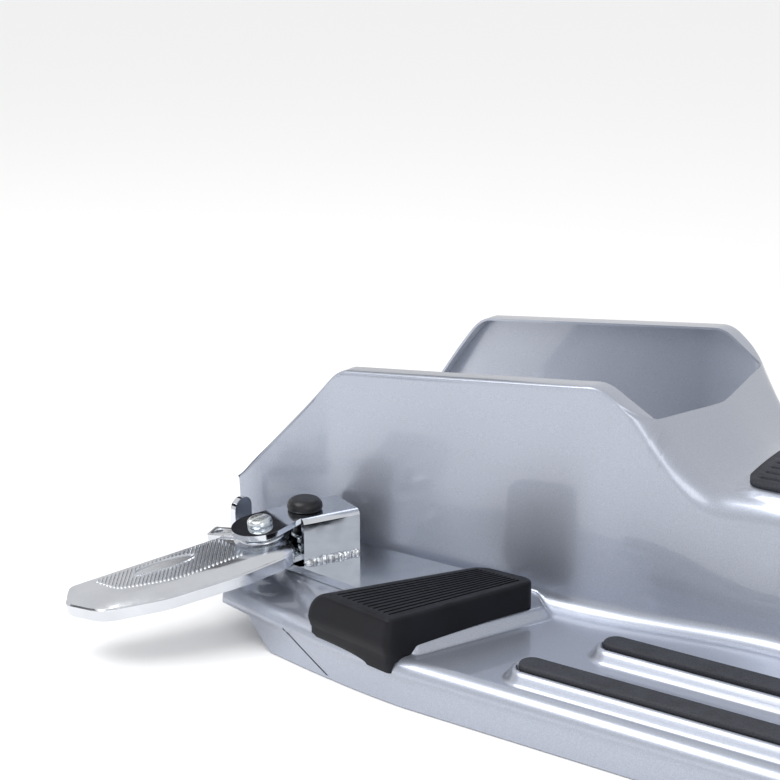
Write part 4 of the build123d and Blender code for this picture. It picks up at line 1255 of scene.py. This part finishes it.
class FLOORBOARD_OT_brackets(bpy.types.Operator):
    """Finishes the base plates and brackets, and lays the weld beads"""
    bl_idname = "floorboard.brackets"
    bl_label = "Brackets and welds"

    def execute(self, context):
        for side, _ in SIDES:
            polish_node(context, f"{side}_base_plate", "chromed_steel", PLATE_BEVEL)
            polish_node(context, f"{side}_peg_bracket", "chromed_steel", BRACKET_BEVEL)
        bead = self.bead()
        for (side, _), mesh in zip(SIDES, (bead, mirrored(bead, "left_weld"))):
            piece = new_object(side + "_weld", mesh)
            dress(piece, finish_of(context, "weld_metal"), "floorboard", "weld_metal", side + "_weld_bead")
        return {"FINISHED"}

    @staticmethod
    def bead():
        """Lumpy run of weld with overlapping ripples."""
        rng = np.random.default_rng(SEED)
        count, around = 150, 10
        along = np.linspace(0, BOX_LENGTH, count)
        pitch = np.cumsum(rng.uniform(*BEAD_PITCH, 40))
        ripple = BEAD_RIPPLE * np.abs(np.sin(math.pi * np.interp(along, pitch, np.arange(40))))
        lumps = np.interp(along, np.linspace(0, BOX_LENGTH, 30), rng.normal(0, BEAD_LUMPS, 30))
        radius = np.maximum(BEAD_RADIUS + ripple + lumps, BEAD_LEAST)
        radius *= np.sqrt(np.clip(np.minimum(along, BOX_LENGTH - along) / BEAD_TAPER, 0.05, 1))
        rows = []
        for reach, size in zip(along, radius):
            turns = np.linspace(-0.25 * math.pi, 0.75 * math.pi, around)
            grit = size + rng.normal(0, BEAD_GRIT, around)
            rows.append([(-BOX_START - reach + BEAD_SINK * math.cos(3 * t),
                          BOX_FRONT + BEAD_SINK + g * math.cos(t),
                          PLATE_Z + BEAD_SINK + g * math.sin(t)) for t, g in zip(turns, grit)])
        build = bmesh.new()
        add_grid(build, np.array(rows), closed=True, caps=(True, True))
        mesh = finish_mesh(build, "right_weld", sharp=math.radians(80))
        place = Vector((PEG_JOINT["pos_m"][0], PEG_JOINT["pos_m"][1], 0))
        mesh.transform(Matrix.Translation(place) @ Matrix.Rotation(math.radians(PEG_ANGLE), 4, "Z"))
        return mesh


class FLOORBOARD_OT_fasteners(bpy.types.Operator):
    """Finishes screws, nuts and washers"""
    bl_idname = "floorboard.fasteners"
    bl_label = "Fasteners"

    def execute(self, context):
        for side, _ in SIDES:
            for node in ("plate_screws", "plate_nuts", "buffer_stud", "buffer_washer", "buffer_nut",
                         "pivot_screw", "pivot_nut", "lower_washer"):
                polish_node(context, f"{side}_{node}", "zinc_steel")
            polish_node(context, f"{side}_upper_washer", "chromed_steel", WASHER_BEVEL)
            polish_node(context, f"{side}_spring_washer", "zinc_steel", WASHER_BEVEL)
        return {"FINISHED"}


class FLOORBOARD_OT_stage(bpy.types.Operator):
    """Lays the pale floor and sets the soft light and the camera"""
    bl_idname = "floorboard.stage"
    bl_label = "Stage"

    def execute(self, context):
        stage = sizes(context, "stage")
        context.scene.view_settings.view_transform = "Standard"
        self.floor()
        self.world(context, stage)
        self.lamp("key_light", KEY_PLACE, KEY_AIM, KEY_SIZE, stage.key_power)
        self.lamp("side_light", SIDE_PLACE, SIDE_AIM, SIDE_SIZE, stage.rim_power)
        for turn in FLAG_TURNS:
            reach = FLAG_REACH * math.cos(turn) + FLAG_AIM[0]
            self.flag("studio_flag", (reach, FLAG_REACH * math.sin(turn), FLAG_HEIGHT), FLAG_AIM, FLAG_SIZE)
        lens = bpy.data.cameras.new("camera")
        lens.lens = stage.lens
        lens.sensor_width = 36
        lens.clip_start = 0.01
        camera = bpy.data.objects.new("camera", lens)
        camera.location = stage.camera_place
        camera.rotation_euler = (math.pi / 2 - stage.camera_pitch, 0, stage.camera_azimuth)
        context.scene.collection.objects.link(camera)
        context.scene.camera = camera
        return {"FINISHED"}

    @staticmethod
    def floor():
        """Pale plain floor."""
        build = bmesh.new()
        bmesh.ops.create_grid(build, x_segments=8, y_segments=8, size=6)
        floor = new_object("studio_floor", finish_mesh(build, "studio_floor"))
        floor.location.z = -FLOOR_DROP
        material = bpy.data.materials.new("studio_floor")
        material.use_nodes = True
        tree = material.node_tree
        shader = tree.nodes["Principled BSDF"]
        shader.inputs["Base Color"].default_value = (0.93, 0.93, 0.93, 1)
        shader.inputs["Roughness"].default_value = 0.9
        floor.data.materials.append(material)

    @staticmethod
    def world(context, stage):
        """White to the camera and in reflections, soft light from above otherwise."""
        world = bpy.data.worlds.new("studio")
        world.use_nodes = True
        tree = world.node_tree
        sky = tree.nodes["Background"]
        sky.inputs["Color"].default_value = (1, 1, 1, 1)
        sky.inputs["Strength"].default_value = stage.world_light
        white = tree.nodes.new("ShaderNodeBackground")
        white.inputs["Strength"].default_value = 1
        path = tree.nodes.new("ShaderNodeLightPath")
        total = tree.nodes.new("ShaderNodeMath")
        total.operation = "ADD"
        both = tree.nodes.new("ShaderNodeMath")
        both.operation = "ADD"
        both.use_clamp = True
        mix = tree.nodes.new("ShaderNodeMixShader")
        tree.links.new(path.outputs["Is Camera Ray"], total.inputs[0])
        tree.links.new(path.outputs["Is Glossy Ray"], total.inputs[1])
        tree.links.new(total.outputs["Value"], both.inputs[0])
        tree.links.new(path.outputs["Is Transmission Ray"], both.inputs[1])
        tree.links.new(both.outputs["Value"], mix.inputs["Fac"])
        tree.links.new(sky.outputs["Background"], mix.inputs[1])
        tree.links.new(white.outputs["Background"], mix.inputs[2])
        tree.links.new(mix.outputs["Shader"], tree.nodes["World Output"].inputs["Surface"])
        context.scene.world = world

    @staticmethod
    def flag(name, place, aim, size):
        """Dark studio card that only reflections see."""
        build = bmesh.new()
        bmesh.ops.create_grid(build, x_segments=1, y_segments=1, size=0.5)
        card = new_object(name, finish_mesh(build, name))
        card.location = place
        card.scale = (*size, 1)
        card.rotation_euler = (Vector(aim) - Vector(place)).to_track_quat("-Z", "Y").to_euler()
        for kind in ("camera", "diffuse", "shadow", "transmission", "volume_scatter"):
            setattr(card, "visible_" + kind, False)
        material = bpy.data.materials.new(name)
        material.use_nodes = True
        shader = material.node_tree.nodes["Principled BSDF"]
        shader.inputs["Base Color"].default_value = (0.03, 0.03, 0.035, 1)
        shader.inputs["Roughness"].default_value = 1
        shader.inputs["Specular IOR Level"].default_value = 0
        card.data.materials.append(material)

    @staticmethod
    def lamp(name, place, aim, size, power):
        light = bpy.data.lights.new(name, "AREA")
        light.size = size
        light.energy = power
        lamp = bpy.data.objects.new(name, light)
        lamp.location = place
        lamp.rotation_euler = (Vector(aim) - Vector(place)).to_track_quat("-Z", "Y").to_euler()
        bpy.context.scene.collection.objects.link(lamp)


class FLOORBOARD_PT_sidebar(bpy.types.Panel):
    """Lists the steps that dress the floorboard"""
    bl_idname = "FLOORBOARD_PT_sidebar"
    bl_label = "Floorboard"
    bl_space_type = "VIEW_3D"
    bl_region_type = "UI"
    bl_category = "Floorboard"

    def draw(self, context):
        for operator in OPERATORS:
            self.layout.operator(operator.bl_idname)
        for name in SETTINGS:
            settings = sizes(context, name)
            for field in settings.__annotations__:
                self.layout.prop(settings, field)


OPERATORS = (FLOORBOARD_OT_panel, FLOORBOARD_OT_heel_pads, FLOORBOARD_OT_footpegs, FLOORBOARD_OT_rubbers,
             FLOORBOARD_OT_brackets, FLOORBOARD_OT_fasteners, FLOORBOARD_OT_stage)
SETTINGS = {"panel": PanelSizes, "pad": PadSizes, "peg": PegSizes, "colours": FinishColours,
            "stage": StageSettings}


def register():
    for settings in SETTINGS.values():
        bpy.utils.register_class(settings)
    for name, settings in SETTINGS.items():
        setattr(bpy.types.Scene, "floorboard_" + name, PointerProperty(type=settings))
    for operator in OPERATORS:
        bpy.utils.register_class(operator)
    bpy.utils.register_class(FLOORBOARD_PT_sidebar)


def unregister():
    bpy.utils.unregister_class(FLOORBOARD_PT_sidebar)
    for operator in reversed(OPERATORS):
        bpy.utils.unregister_class(operator)
    for name, settings in SETTINGS.items():
        delattr(bpy.types.Scene, "floorboard_" + name)
        bpy.utils.unregister_class(settings)


def main():
    register()
    for operator in OPERATORS:
        name = operator.bl_idname.split(".")[1]
        getattr(bpy.ops.floorboard, name)()


if __name__ == "__main__":
    main()
